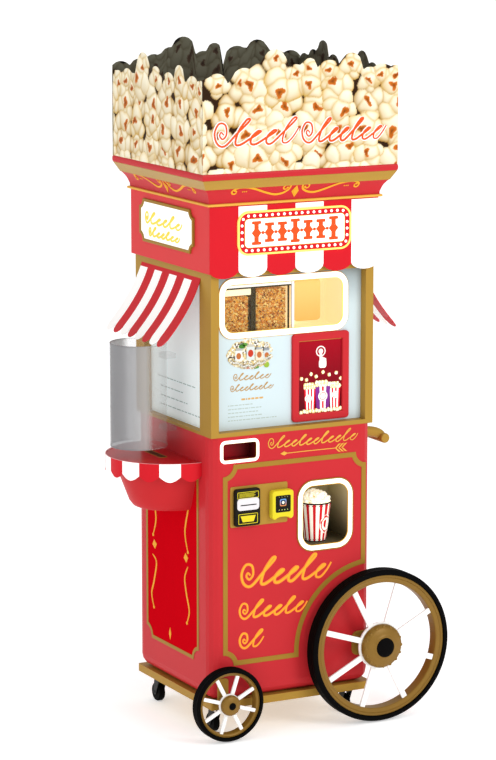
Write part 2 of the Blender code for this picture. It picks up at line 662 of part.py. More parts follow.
def make_crown():
    hollow = (-HALF_WIDTH, HALF_WIDTH, -HALF_DEPTH, HALF_DEPTH)
    plate("gold_bead", rect(ring_box(BEAD_OVERHANG)), HEADER_TOP, BEAD_TOP, "flat", "gold_paint",
          [rect(hollow)])
    make_cove()
    lip = ring_box(CROWN_OVERHANG)
    crown = block("crown_lip", (lip[0], lip[2], CROWN_BOTTOM), (lip[1], lip[3], CROWN_TOP), "red_paint")
    cut(crown, block("crown_pocket", (-HALF_WIDTH, -HALF_DEPTH, CROWN_BOTTOM - 0.1),
                     (HALF_WIDTH, HALF_DEPTH, CROWN_TOP - SHEET)))


def lobed_outline(lobes, half_length):
    """Straight foot and ends, and a cut edge that follows the tallest lobe at every point."""
    count = round(2 * half_length / LOBE_SPACING)
    edge = []
    for step in range(count + 1):
        along = half_length * (1 - 2 * step / count)
        heights = [top - radius + math.sqrt(radius ** 2 - (along - middle) ** 2)
                   for middle, top, radius in lobes if abs(along - middle) < radius]
        edge.append((along, max(heights + [LOBE_FLOOR])))
    foot = CROWN_TOP + GAP
    return [(-half_length, foot), (half_length, foot)] + edge


def make_topper():
    outer_x, outer_y = CROWN_X - TOPPER_INSET, CROWN_Y - TOPPER_INSET
    inner_y = outer_y - TOPPER_THICKNESS
    for name, lobes, low in (("topper_front", FRONT_LOBES, -outer_y), ("topper_back", BACK_LOBES, inner_y)):
        plate(name, lobed_outline(lobes, outer_x), low, low + TOPPER_THICKNESS, "front", "popcorn_print")
    inner_x = outer_x - TOPPER_THICKNESS
    for name, lobes, low in (("topper_left", LEFT_LOBES, -outer_x), ("topper_right", RIGHT_LOBES, inner_x)):
        plate(name, lobed_outline(lobes, inner_y - GAP), low, low + TOPPER_THICKNESS, "side", "popcorn_print")


# ---------------------------------------------------------------- kernel window and screen

def make_kernel_window():
    front = PANEL_Y - GAP
    ring = rounded_rect(KERNEL_WINDOW, KERNEL_WINDOW_RADIUS)
    opening = rounded_rect(KERNEL_WINDOW, KERNEL_WINDOW_RADIUS, KERNEL_RING_WIDTH)
    plate("kernel_window_ring", ring, front - KERNEL_RING_THICKNESS, front, "front", "lit_white", [opening])
    pane_front = PANEL_BACK + GAP
    pane_back = pane_front + PANE_THICKNESS
    pane = (KERNEL_WINDOW[0], KERNEL_WINDOW[1], KERNEL_WINDOW[2] + 0.006, KERNEL_WINDOW[3] - 0.004)
    plate("kernel_window_pane", rounded_rect(pane, 0.050), pane_front, pane_back, "front", "clear")
    liner_front = pane_back + GAP
    liner_box = (KERNEL_WINDOW[0] - 0.008, KERNEL_WINDOW[1] + 0.012, KERNEL_WINDOW[2], KERNEL_WINDOW[3] + 0.002)
    liner = block("window_liner", *box_front(liner_box, liner_front, liner_front + LINER_DEPTH), "lit_white")
    cut(liner, block("liner_hollow", *box_front(grown(liner_box, -SHEET), liner_front - 0.1,
                                                liner_front + LINER_DEPTH - SHEET)))
    floor = liner_box[2] + SHEET + GAP
    for name, (low_x, high_x, top) in KERNEL_BINS.items():
        near = liner_front + 0.012
        bin_box = block(name, (low_x, near, floor), (high_x, near + BIN_DEPTH, top), "clear")
        cut(bin_box, block(name + "_hollow", (low_x + BIN_WALL, near + BIN_WALL, floor + BIN_WALL),
                           (high_x - BIN_WALL, near + BIN_DEPTH - BIN_WALL, top + 0.1)))


def make_screen():
    back = PANEL_Y - GAP
    front = back - SCREEN_BEZEL_THICKNESS
    plate("screen_bezel", rounded_rect(SCREEN_BEZEL, 0.010, steps=3), front, back, "front", "red_gloss",
          [rect(SCREEN)])
    plate("touch_screen", rect(SCREEN, GAP), back - SCREEN_THICKNESS, back, "front", "dark_glass")


# ---------------------------------------------------------------- lower front

def make_bag_slot():
    """A white ring in front of a shallow pocket that goes back through the cabinet's wall."""
    front = WALL_Y - 0.004
    ring = rounded_rect(BAG_SLOT, BAG_SLOT_RADIUS)
    slot = plate("bag_slot", ring, front, WALL_Y, "front", "lit_white")
    join(slot, plate("bag_pocket", rounded_rect(BAG_SLOT, BAG_SLOT_RADIUS, BAG_SLOT_RING - 0.002),
                     WALL_Y - 0.002, WALL_Y + BAG_SLOT_DEPTH, "front"))
    cut(slot, plate("bag_hollow", rounded_rect(BAG_SLOT, BAG_SLOT_RADIUS, BAG_SLOT_RING),
                    front - 0.01, WALL_Y + BAG_SLOT_DEPTH - 0.002, "front"))


def make_payment():
    plate_front = WALL_Y - PLATE_THICKNESS
    bill_body = grown(BILL_BEZEL, -BILL_BODY_INSET)
    card_body = grown(CARD_READER, -CARD_BODY_INSET)
    plate("payment_plate", rounded_rect(PAYMENT_PLATE, 0.006, steps=2), plate_front, WALL_Y, "front", "gold_paint",
          [rect(bill_body, -SLIDE_GAP), rect(card_body, -SLIDE_GAP)])
    back = plate_front - GAP
    bill = block("bill_acceptor", *box_front(BILL_BEZEL, back - BILL_BEZEL_PROUD, back), "black_plastic")
    round_edges(bill, 0.004)
    middle = (BILL_BEZEL[0] + BILL_BEZEL[1]) / 2
    mouth = (middle - BILL_MOUTH_WIDTH / 2, middle + BILL_MOUTH_WIDTH / 2,
             BILL_MOUTH_Z - BILL_MOUTH_HEIGHT / 2, BILL_MOUTH_Z + BILL_MOUTH_HEIGHT / 2)
    join(bill, block("bill_body", *box_front(bill_body, back - 0.010, back + BILL_BODY_DEPTH)))
    cut(bill, block("bill_mouth_cut", *box_front(mouth, back - 0.1, back - BILL_BEZEL_PROUD + BILL_MOUTH_DEPTH)))
    card = block("card_reader", *box_front(CARD_READER, back - CARD_READER_PROUD, back), "yellow_plastic")
    round_edges(card, 0.008)
    join(card, block("card_body", *box_front(card_body, back - 0.010, back + CARD_BODY_DEPTH)))


def make_pickup():
    ring = rounded_rect(PICKUP_WINDOW, PICKUP_RADIUS)
    opening = rounded_rect(PICKUP_WINDOW, PICKUP_RADIUS, PICKUP_RING_WIDTH)
    plate("pickup_ring", ring, WALL_Y - PICKUP_RING_THICKNESS, WALL_Y, "front", "lit_white", [opening])
    shutter_front = -HALF_DEPTH + SHEET + SLIDE_GAP
    shutter_back = shutter_front + SHUTTER_THICKNESS
    box_y = shutter_back + SLIDE_GAP
    low_x, high_x = PICKUP_WINDOW[0] - 0.003, PICKUP_WINDOW[1] + 0.003
    floor = PICKUP_WINDOW[2] + PICKUP_RING_WIDTH
    outer = (low_x, high_x, floor - SHEET, PICKUP_WINDOW[3] + 0.007)
    box = block("pickup_box", *box_front(outer, box_y, box_y + PICKUP_BOX_DEPTH), "lit_white")
    cut(box, block("pickup_hollow", *box_front(grown(outer, -SHEET), box_y - 0.1,
                                               box_y + PICKUP_BOX_DEPTH - SHEET)))
    shutter_top = floor - 0.036
    rail_bottom = shutter_top - SHUTTER_HEIGHT
    for label, rail_x in (("left", low_x - SHUTTER_RAIL + SHEET / 2), ("right", high_x - SHEET / 2)):
        join(box, block("rail_" + label, (rail_x, shutter_front, rail_bottom),
                        (rail_x + SHUTTER_RAIL, box_y + 0.006, outer[3])))
    shutter = (low_x + SHEET / 2 + SLIDE_GAP, high_x - SHEET / 2 - SLIDE_GAP,
               shutter_top - SHUTTER_HEIGHT, shutter_top)
    pivot = ((shutter[0] + shutter[1]) / 2, shutter_front, shutter[2])
    plate("pickup_shutter", rounded_rect(shutter, 0.003, steps=1), shutter_front, shutter_back, "front", "clear",
          pivot=pivot)
    make_cup(floor + GAP)


def make_cup(stand):
    """A tapered paper cup and the popcorn that fills its upper part and stands over the rim."""
    def wall_radius(height):
        return CUP_BASE_RADIUS + (CUP_RIM_RADIUS - CUP_BASE_RADIUS) * height / CUP_HEIGHT

    profile = [(CUP_RIM_RADIUS, CUP_HEIGHT), (CUP_BASE_RADIUS, 0.0), (0.0, 0.0), (0.0, CUP_WALL),
               (CUP_BASE_RADIUS - CUP_WALL, CUP_WALL), (CUP_RIM_RADIUS - CUP_WALL, CUP_HEIGHT)]
    profile = profile[3:] + profile[:3]
    cup = turned("popcorn_cup", profile, (CUP_X, CUP_Y, stand), "Z", "paper")
    inner_gap = CUP_WALL + 2 * GAP
    low = CUP_HEIGHT - POPCORN_DEPTH
    rim = CUP_HEIGHT + 0.002
    dome = [(wall_radius(CUP_HEIGHT) * math.cos(a) * 0.95, rim + POPCORN_RISE * math.sin(a))
            for a in (math.pi / 2 * (1 - step / 6) for step in range(7))]
    dome[0] = (0.0, dome[0][1])
    profile = dome + [(wall_radius(low) - inner_gap, low), (0.0, low)]
    turned("popcorn_fill", profile, (CUP_X, CUP_Y, stand), "Z", "popcorn", parent=cup)


# ---------------------------------------------------------------- awnings, tray, tube and handle

def awning_point(along, share):
    """Distance out from the wall and height, at a share of the awning's length; the tips are scalloped."""
    in_stripe = (along * AWNING_STRIPES) % 1.0
    scallop = 1.0 - math.sqrt(max(0.0, 1.0 - (2 * in_stripe - 1) ** 2))
    reach = share * (1.0 - AWNING_SCALLOP * scallop)
    out = AWNING_REACH * (reach + reach ** 2) / 2
    return out, AWNING_TOP - AWNING_DROP * reach


def make_awning(name, side):
    """A formed sheet that falls from the wall and flares out, with a round tip to every stripe."""
    steps_along, steps_down = AWNING_STRIPES * 4, 4
    bm = bmesh.new()
    bmesh.ops.create_grid(bm, x_segments=steps_along, y_segments=steps_down, size=0.5)
    length = AWNING_BACK - AWNING_FRONT
    wall = HALF_WIDTH + GAP
    for vert in bm.verts:
        along, share = vert.co.x + 0.5, vert.co.y + 0.5
        along = min(max(along, 0.0), 1.0 - 1e-6)
        out, height = awning_point(along, share)
        vert.co = (side * (wall + out), AWNING_FRONT + length * along, height)
    bmesh.ops.recalc_face_normals(bm, faces=bm.faces)
    middle = bm.faces[:][len(bm.faces) // 2]
    if middle.normal.x * side < 0:
        bmesh.ops.reverse_faces(bm, faces=bm.faces)
    mesh = bpy.data.meshes.new(name)
    bm.to_mesh(mesh)
    bm.free()
    awning = place(bpy.data.objects.new(name, mesh), "red_gloss")
    shell = awning.modifiers.new("sheet", "SOLIDIFY")
    shell.thickness = AWNING_THICKNESS
    shell.offset = 1.0


def make_side_tray():
    """A half-oval tray with a slot, and a scalloped skirt round its edge."""
    wall = -HALF_WIDTH - GAP
    slot_x = wall - TRAY_SLOT_OUT
    slot = (slot_x - TRAY_SLOT_WIDTH / 2, slot_x + TRAY_SLOT_WIDTH / 2,
            TRAY_SLOT_Y - TRAY_SLOT_LENGTH / 2, TRAY_SLOT_Y + TRAY_SLOT_LENGTH / 2)
    inset = SKIRT_THICKNESS / 2
    outline = half_ellipse(TRAY_REACH - inset, TRAY_HALF_WIDTH - inset)
    tray = plate("side_tray", outline, TRAY_TOP - TRAY_THICKNESS, TRAY_TOP, "flat", "red_gloss",
                 [rounded_rect(slot, 0.006, steps=2)])
    steps = TRAY_STRIPES * 4
    bm = bmesh.new()
    bmesh.ops.create_grid(bm, x_segments=steps, y_segments=1, size=0.5)
    for vert in bm.verts:
        share = min(max(vert.co.x + 0.5, 0.0), 1.0)
        angle = math.pi * (share - 0.5)
        in_stripe = (share * TRAY_STRIPES) % 1.0
        low = TRAY_TOP - SKIRT_STRAIGHT - SKIRT_SCALLOP * math.sin(math.pi * in_stripe)
        height = TRAY_TOP + TRAY_LIP if vert.co.y > 0 else low
        vert.co = (wall - TRAY_REACH * math.cos(angle), TRAY_HALF_WIDTH * math.sin(angle), height)
    bmesh.ops.recalc_face_normals(bm, faces=bm.faces)
    middle = min(bm.faces, key=lambda face: face.calc_center_median().x)
    if middle.normal.x > 0:
        bmesh.ops.reverse_faces(bm, faces=bm.faces)
    mesh = bpy.data.meshes.new("skirt")
    bm.to_mesh(mesh)
    bm.free()
    skirt = place(bpy.data.objects.new("skirt", mesh), None)
    shell = skirt.modifiers.new("sheet", "SOLIDIFY")
    shell.thickness = SKIRT_THICKNESS
    shell.offset = -1.0
    join(tray, skirt)


def tapered_d(name, top_reach, bottom_reach, low, high, paint=None):
    """A D-shaped block against the left wall whose foot is smaller than its top."""
    wall = -HALF_WIDTH - GAP
    outline = half_ellipse(top_reach, top_reach * BOWL_WIDTH_RATIO)
    obj = plate(name, outline, low, high, "flat", paint)
    for vert in obj.data.vertices:
        if vert.co.z < (low + high) / 2:
            scale = bottom_reach / top_reach
            vert.co = (wall + (vert.co.x - wall) * scale, vert.co.y * scale, vert.co.z)
    return obj


def make_tray_bowl():
    top = TRAY_TOP - TRAY_THICKNESS - GAP
    bowl = tapered_d("tray_bowl", BOWL_TOP_REACH, BOWL_BOTTOM_REACH, BOWL_BOTTOM, top, "red_gloss")
    hollow = tapered_d("bowl_hollow", BOWL_TOP_REACH - BOWL_WALL, BOWL_BOTTOM_REACH - BOWL_WALL,
                       BOWL_BOTTOM + BOWL_WALL, top + 0.001)
    hollow.location.x -= BOWL_WALL
    cut(bowl, hollow)


def make_cup_tube():
    wall = -HALF_WIDTH - GAP
    centre_x = wall - TUBE_OUT
    inner = TUBE_RADIUS - TUBE_WALL
    low, high = TUBE_BOTTOM, TUBE_TOP
    profile = [(TUBE_RADIUS, high), (TUBE_RADIUS, low), (inner, low), (inner, high)]
    tube = turned("cup_tube", profile, (centre_x, 0, 0), "Z", "clear", closed=True)
    half = TUBE_BRACKET_WIDTH / 2
    near = centre_x + math.sqrt(inner ** 2 - half ** 2) - 0.002
    for label, height in (("low", low + 0.050), ("high", high - 0.070)):
        join(tube, block("tube_bracket_" + label, (near, -half, height),
                         (wall, half, height + TUBE_BRACKET_HEIGHT)))
    cut(tube, cylinder("tube_bore", (centre_x, 0, (low + high) / 2), inner, high - low + 0.2, "Z", segments=24))


def make_push_handle():
    """A bar along the right side, held by two arms that curve down from the wall."""
    wall = HALF_WIDTH + GAP
    bar_x = HALF_WIDTH + HANDLE_OUT
    handle = cylinder("push_handle", (bar_x, 0, HANDLE_Z), HANDLE_RADIUS, HANDLE_LENGTH, "FRONT", "gold_paint")
    round_edges(handle, 0.003, 1)
    drop = HANDLE_ROOT_Z - HANDLE_Z
    for label, end in (("front", -1), ("back", 1)):
        arm_y = end * (HANDLE_LENGTH / 2 - HANDLE_ARM_INSET)
        turns = [math.pi / 2 * step / 5 for step in range(6)]
        points = [(wall + 0.002, arm_y, HANDLE_ROOT_Z)]
        points += [(wall + 0.020 + (bar_x - wall - 0.020) * math.sin(a), arm_y,
                    HANDLE_ROOT_Z - drop * (1 - math.cos(a))) for a in turns]
        join(handle, rod("arm_" + label, points, HANDLE_ARM_RADIUS),
             cylinder("arm_foot_" + label, (wall + 0.003, arm_y, HANDLE_ROOT_Z), HANDLE_ARM_RADIUS + 0.007, 0.006,
                      "X"))


# ---------------------------------------------------------------- wheels

def make_wagon_wheel(sizes):
    """A tyre, a spoked wheel with a domed hub, and the axle that carries them on a strap."""
    name, radius, width = sizes["name"], sizes["radius"], sizes["width"]
    back = -HALF_DEPTH - sizes["back_gap"]
    centre = (sizes["x"], back, sizes["z"])
    tyre_inner = radius - sizes["tyre"]
    edge = sizes["tyre"] * 0.35
    tyre = [(radius - edge, width), (radius, width - edge), (radius, edge), (radius - edge, 0.0),
            (tyre_inner + GAP, 0.0), (tyre_inner + GAP, width)]
    wheel_tyre = turned(name + "_tyre", tyre, centre, "FRONT", "black_rubber", segments=36, closed=True)
    rim_inner = tyre_inner - sizes["rim"]
    rim_low, rim_high = width * 0.12, width * 0.88
    rim = [(tyre_inner, rim_high), (tyre_inner, rim_low), (rim_inner, rim_low), (rim_inner, rim_high)]
    wheel = turned(name, rim, centre, "FRONT", "gold_paint", segments=36, closed=True, parent=None)
    axle_radius = sizes["cap"] * AXLE_RADIUS_SHARE
    bore = axle_radius + SLIDE_GAP / 2
    hub, nose = sizes["hub"], width + sizes["nose"]
    hub_profile = [(0.0, nose), (sizes["cap"], nose), (sizes["cap"] * 1.25, nose - sizes["nose"] * 0.15),
                   (hub * 0.80, nose - sizes["nose"] * 0.45), (hub, nose - sizes["nose"]), (hub, width * 0.30),
                   (hub * 0.8, width * 0.10), (bore, width * 0.10), (bore, nose * 0.80), (0.0, nose * 0.80)]
    spoke_z = width * 0.72
    join(wheel, turned(name + "_hub", hub_profile, centre, "FRONT"))
    half = sizes["spoke"] / 2
    for number in range(WHEEL_SPOKES):
        start, end = hub * 0.7, rim_inner + sizes["rim"] * 0.4
        spoke = block(f"{name}_spoke_{number}", (start, -half, -SPOKE_THICKNESS / 2),
                      (end, half, SPOKE_THICKNESS / 2))
        turn = Matrix.Rotation(math.radians(SPOKE_TURN + number * 360 / WHEEL_SPOKES), 4, "Z")
        lift = Matrix.Translation((0, 0, spoke_z - SPOKE_THICKNESS / 2))
        spoke.data.transform(Matrix.Translation(centre) @ axis_matrix("FRONT") @ lift @ turn)
        join(wheel, spoke)
    wheel_tyre.parent = wheel
    wheel_tyre.location = (0, 0, 0)
    wheel_tyre.rotation_euler = (0, 0, 0)
    make_axle(sizes, axle_radius, nose * 0.80)
    return wheel


def make_axle(sizes, axle_radius, bore_depth):
    """A strap on the cabinet's front, with a shaft that runs into the hub."""
    back = WALL_Y
    strap_front = back - AXLE_STRAP_THICKNESS
    half = sizes["hub"] * 0.55
    strap = (sizes["x"] - sizes["strap"][0], sizes["x"] + half, sizes["z"] - half, sizes["z"] + sizes["strap"][1])
    axle = plate(sizes["name"] + "_axle", rounded_rect(strap, half * 0.5, steps=3), strap_front, back, "front",
                 "gold_paint")
    end = -HALF_DEPTH - sizes["back_gap"] - bore_depth + SLIDE_GAP
    start = back - AXLE_STRAP_THICKNESS / 2
    join(axle, cylinder(sizes["name"] + "_shaft", (sizes["x"], (start + end) / 2, sizes["z"]), axle_radius,
                        start - end, "FRONT"))


def make_castor(place_name, side, end):
    """A swivelling fork with its stem in the base plate, and a wheel on a pin behind the stem."""
    x, y = side * CASTOR_X, end * CASTOR_Y
    axle_y, axle_z = y + CASTOR_TRAIL, CASTOR_WHEEL_RADIUS
    head_top = BASE_BOTTOM - SLIDE_GAP
    head_bottom = head_top - CASTOR_HEAD
    head_centre = (x, y, (head_top + head_bottom) / 2)
    pivot = (x, y, head_top)
    fork = cylinder("castor_fork_" + place_name, head_centre, CASTOR_HEAD_RADIUS, CASTOR_HEAD, "Z", "castor_metal",
                    pivot=pivot)
    stem_length = CASTOR_STEM + CASTOR_HEAD / 2
    join(fork, cylinder("stem_" + place_name, (x, y, head_top + CASTOR_STEM - stem_length / 2), CASTOR_STEM_RADIUS,
                        stem_length, "Z", segments=12))
    inner = CASTOR_WHEEL_WIDTH / 2 + CASTOR_LEG_GAP
    leg = [(y - CASTOR_HEAD_RADIUS * 0.8, head_bottom + 0.004), (axle_y - 0.012, axle_z - 0.004),
           (axle_y - 0.006, axle_z - 0.011), (axle_y + 0.006, axle_z - 0.011), (axle_y + 0.012, axle_z - 0.004),
           (y + CASTOR_HEAD_RADIUS * 0.8, head_bottom + 0.004)]
    for label, low in (("left", x - inner - CASTOR_LEG), ("right", x + inner)):
        join(fork, plate(f"leg_{label}_{place_name}", leg, low, low + CASTOR_LEG, "side"))
    join(fork, cylinder("pin_" + place_name, (x, axle_y, axle_z), CASTOR_PIN_RADIUS, 2 * (inner + CASTOR_LEG + 0.002),
                        "X", segments=12))
    half, radius = CASTOR_WHEEL_WIDTH / 2, CASTOR_WHEEL_RADIUS
    bore = CASTOR_PIN_RADIUS + SLIDE_GAP / 2
    profile = [(radius - 0.003, half), (radius, half - 0.004), (radius, 0.004 - half), (radius - 0.003, -half),
               (bore, -half), (bore, half)]
    turned("castor_wheel_" + place_name, profile, (x, axle_y, axle_z), "X", "black_rubber", closed=True,
           parent=fork)


# ---------------------------------------------------------------- inside

def make_kettle():
    """A popping kettle on its heater drum, with a stirrer that turns in the bowl."""
    foot = SIDE_BAY_BOTTOM + GAP
    top = foot + KETTLE_HEIGHT
    bowl_floor = top - KETTLE_BOWL_DEPTH
    inner = KETTLE_RADIUS - KETTLE_WALL
    hole = STIRRER_SHAFT_RADIUS + SLIDE_GAP
    socket = bowl_floor - 0.030
    profile = [(0.0, socket), (hole, socket), (hole, bowl_floor), (inner * 0.85, bowl_floor),
               (inner, bowl_floor + 0.020), (inner, top), (KETTLE_RADIUS, top), (KETTLE_RADIUS, foot),
               (KETTLE_RADIUS - SHEET, foot), (KETTLE_RADIUS - SHEET, socket - 0.030), (0.0, socket - 0.030)]
    turned("popping_kettle", profile, (KETTLE_X, KETTLE_Y, 0), "Z", "steel")
    blade_low = bowl_floor + 0.003
    blade_reach = inner * 0.80
    pivot = (KETTLE_X, KETTLE_Y, bowl_floor)
    shaft_low, shaft_high = socket + SLIDE_GAP, blade_low + 0.045
    stirrer = cylinder("stirrer", (KETTLE_X, KETTLE_Y, (shaft_low + shaft_high) / 2), STIRRER_SHAFT_RADIUS,
                       shaft_high - shaft_low, "Z", "steel", segments=16, pivot=pivot)
    for label, (reach_x, reach_y) in {"long": (blade_reach, 0.004), "cross": (0.004, blade_reach)}.items():
        join(stirrer, block("blade_" + label, (KETTLE_X - reach_x, KETTLE_Y - reach_y, blade_low),
                            (KETTLE_X + reach_x, KETTLE_Y + reach_y, blade_low + STIRRER_BLADE_HEIGHT)))


def make_controller_box():
    low = Vector((-HALF_WIDTH + CORNER_RADIUS, CONTROLLER_BACK, BASE_TOP + GAP + SHEET + GAP))
    box = block("controller_box", low, low + Vector(CONTROLLER_SIZE), "steel")
    round_edges(box, 0.004, 1)


# ---------------------------------------------------------------- whole cart

def main():
    make_base_plate()
    make_lower_cabinet()
    door = make_rear_door()
    make_door_lock(door)
    make_upper_frame()
    make_panels()
    make_header()
    make_crown()
    make_topper()
    make_kernel_window()
    make_screen()
    make_bag_slot()
    make_payment()
    make_pickup()
    make_awning("awning_left", -1)
    make_awning("awning_right", 1)
    make_side_tray()
    make_tray_bowl()
    make_cup_tube()
    make_push_handle()
    make_wagon_wheel(BIG_WHEEL)
    make_wagon_wheel(SMALL_WHEEL)
    for place_name, (side, end) in CASTOR_PLACES.items():
        make_castor(place_name, side, end)
    make_kettle()
    make_controller_box()


main()
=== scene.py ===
"""Finish of the popcorn cart: paint, popcorn boards, lamps, signs, awnings and wheels."""

import math

import bmesh
import bpy
import numpy as np
from mathutils import Matrix, Vector


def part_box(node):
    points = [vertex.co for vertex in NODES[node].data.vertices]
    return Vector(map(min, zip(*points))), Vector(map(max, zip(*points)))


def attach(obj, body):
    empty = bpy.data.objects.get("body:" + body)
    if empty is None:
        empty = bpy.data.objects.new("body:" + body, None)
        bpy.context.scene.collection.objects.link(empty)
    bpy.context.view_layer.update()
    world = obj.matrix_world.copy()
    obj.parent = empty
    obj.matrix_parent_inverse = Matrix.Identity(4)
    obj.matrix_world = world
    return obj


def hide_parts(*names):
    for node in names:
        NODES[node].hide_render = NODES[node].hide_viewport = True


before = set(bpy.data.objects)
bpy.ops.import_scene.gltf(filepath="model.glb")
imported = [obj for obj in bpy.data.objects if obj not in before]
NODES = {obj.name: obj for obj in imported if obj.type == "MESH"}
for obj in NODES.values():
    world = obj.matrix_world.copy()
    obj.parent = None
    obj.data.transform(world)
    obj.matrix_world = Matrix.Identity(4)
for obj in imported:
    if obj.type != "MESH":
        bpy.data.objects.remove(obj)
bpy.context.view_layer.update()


# ---------------------------------------------------------------- where things go

frame_low, frame_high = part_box("upper_frame")
CART = Vector(((frame_low.x + frame_high.x) / 2, (frame_low.y + frame_high.y) / 2, 0.0))
HALF_WIDTH = (frame_high.x - frame_low.x) / 2
HALF_DEPTH = (frame_high.y - frame_low.y) / 2
SIDES = {"front": ((1, 0, 0), (0, -1, 0)), "left": ((0, -1, 0), (-1, 0, 0)),
         "right": ((0, 1, 0), (1, 0, 0)), "back": ((-1, 0, 0), (0, 1, 0))}


def side_plane(side, out=0.0, across=0.0, up=0.0):
    """Turns a drawing's across, up and out into a place on one side of the cart."""
    along, outward = map(Vector, SIDES[side])
    matrix = Matrix((along, (0, 0, 1), outward)).transposed().to_4x4()
    matrix.translation = CART + along * across + Vector((0, 0, up)) + outward * out
    return matrix


def span(node, side="front"):
    """Lowest and highest corner of a CAD node in a side's own across, up and out."""
    back = side_plane(side).inverted()
    one, other = (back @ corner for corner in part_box(node))
    return Vector(map(min, one, other)), Vector(map(max, one, other))


# ---------------------------------------------------------------- finishes

def rgb(red, green, blue):
    """A paint chip's values from 0 to 255, as the linear colour that shaders take."""
    chip = [value / 255 for value in (red, green, blue)]
    return tuple(c / 12.92 if c <= 0.04 else ((c + 0.055) / 1.055) ** 2.4 for c in chip) + (1.0,)


def feed(tree, node, values):
    """Gives a node its inputs: each value is another node's socket, to be linked, or a plain value."""
    for label, value in values.items():
        if isinstance(value, bpy.types.NodeSocket):
            tree.links.new(value, node.inputs[label])
        else:
            node.inputs[label].default_value = value
    return node


def add_node(tree, kind, values=None, **settings):
    """A new node with its settings and its inputs."""
    node = tree.nodes.new(kind)
    for label, value in settings.items():
        setattr(node, label, value)
    return feed(tree, node, values or {})


def make_surface_grain():
    """Uneven colour in large patches, and a fine grain for gloss and height."""
    tree = bpy.data.node_groups.new("surface_grain", "ShaderNodeTree")
    for way, labels in (("INPUT", ("Vector", "Colour", "Spread", "Patches", "Roughness", "Rough Spread",
                                   "Grain")), ("OUTPUT", ("Colour", "Roughness", "Height"))):
        for label in labels:
            kind = {"Vector": "Vector", "Colour": "Color"}.get(label, "Float")
            tree.interface.new_socket(label, in_out=way, socket_type="NodeSocket" + kind)
    given = add_node(tree, "NodeGroupInput").outputs
    patches, grain = (add_node(tree, "ShaderNodeTexNoise",
                               {"Vector": given["Vector"], "Scale": given[scale], "Detail": detail})
                      for scale, detail in (("Patches", 3.0), ("Grain", 2.0)))

    def around(noise, spread, middle):
        """middle + spread * (noise - 0.5) * 2"""
        value = noise.outputs[0]
        for factor, offset in ((2.0, -1.0), (spread, middle)):
            value = add_node(tree, "ShaderNodeMath", {0: value, 1: factor, 2: offset},
                             operation="MULTIPLY_ADD").outputs[0]
        return value

    shade = add_node(tree, "ShaderNodeVectorMath", {0: given["Colour"],
                                                    "Scale": around(patches, given["Spread"], 1.0)},
                     operation="SCALE")
    add_node(tree, "NodeGroupOutput", {"Colour": shade.outputs["Vector"], "Height": grain.outputs[0],
                                       "Roughness": around(grain, given["Rough Spread"], given["Roughness"])})
    return tree


SURFACE_GRAIN = make_surface_grain()
ROUGH_SPREAD = 0.06


def finish(name, roughness, colour=(1, 1, 1, 1), metallic=0.0, spread=0.05, patches=5.0, grain=260.0,
           relief=0.00012, pattern=None, stretch=(1, 1, 1), shine=0.08, **sockets):
    """A material: its colour or pattern runs through the surface grain into one Principled shader."""
    material = bpy.data.materials.new(name)
    material.use_nodes = True
    tree = material.node_tree
    where = add_node(tree, "ShaderNodeTexCoord").outputs["Object"]
    mapping = add_node(tree, "ShaderNodeMapping", {"Vector": where, "Scale": stretch})
    group = add_node(tree, "ShaderNodeGroup", node_tree=SURFACE_GRAIN)
    feed(tree, group, {"Vector": mapping.outputs["Vector"], "Spread": spread, "Patches": patches,
                       "Roughness": roughness, "Rough Spread": ROUGH_SPREAD, "Grain": grain,
                       "Colour": pattern(tree, where) if pattern else colour})
    bump = add_node(tree, "ShaderNodeBump", {"Distance": relief, "Height": group.outputs["Height"]})
    shader = feed(tree, tree.nodes["Principled BSDF"],
                  {"Base Color": group.outputs["Colour"], "Roughness": group.outputs["Roughness"],
                   "Normal": bump.outputs["Normal"], "Metallic": metallic, "Specular IOR Level": shine,
                   **{label.replace("_", " "): value for label, value in sockets.items()}})
    if sockets.get("Emission_Strength"):
        feed(tree, shader, {"Emission Color": group.outputs["Colour"]})
    return material


def painted(tree, where):
    """The colour that each corner of a picture carries."""
    node = tree.nodes.new("ShaderNodeAttribute")
    node.attribute_name = "paint"
    return node.outputs["Color"]


def blend_up(low, high, low_colour, high_colour, axis="Z"):
    """A pattern that runs from one colour to another between two places along an axis."""
    def pattern(tree, where):
        split = add_node(tree, "ShaderNodeSeparateXYZ", {0: where})
        ramp = add_node(tree, "ShaderNodeMapRange", {"Value": split.outputs[axis], "From Min": low,
                                                     "From Max": high}, interpolation_type="SMOOTHSTEP")
        mix = add_node(tree, "ShaderNodeMix", {"Factor": ramp.outputs["Result"]}, data_type="RGBA")
        for socket, value in zip([s for s in mix.inputs if s.type == "RGBA"], (low_colour, high_colour)):
            socket.default_value = value
        return next(s for s in mix.outputs if s.type == "RGBA")
    return pattern


def clearer_toward(material, low, high, low_alpha, high_alpha):
    """The see-through share of a plastic, from one place across the cart to another."""
    tree = material.node_tree
    where = add_node(tree, "ShaderNodeTexCoord").outputs["Object"]
    split = add_node(tree, "ShaderNodeSeparateXYZ", {0: where})
    ramp = add_node(tree, "ShaderNodeMapRange", {"Value": split.outputs["X"], "From Min": low,
                                                 "From Max": high, "To Min": low_alpha, "To Max": high_alpha})
    feed(tree, tree.nodes["Principled BSDF"], {"Alpha": ramp.outputs["Result"]})


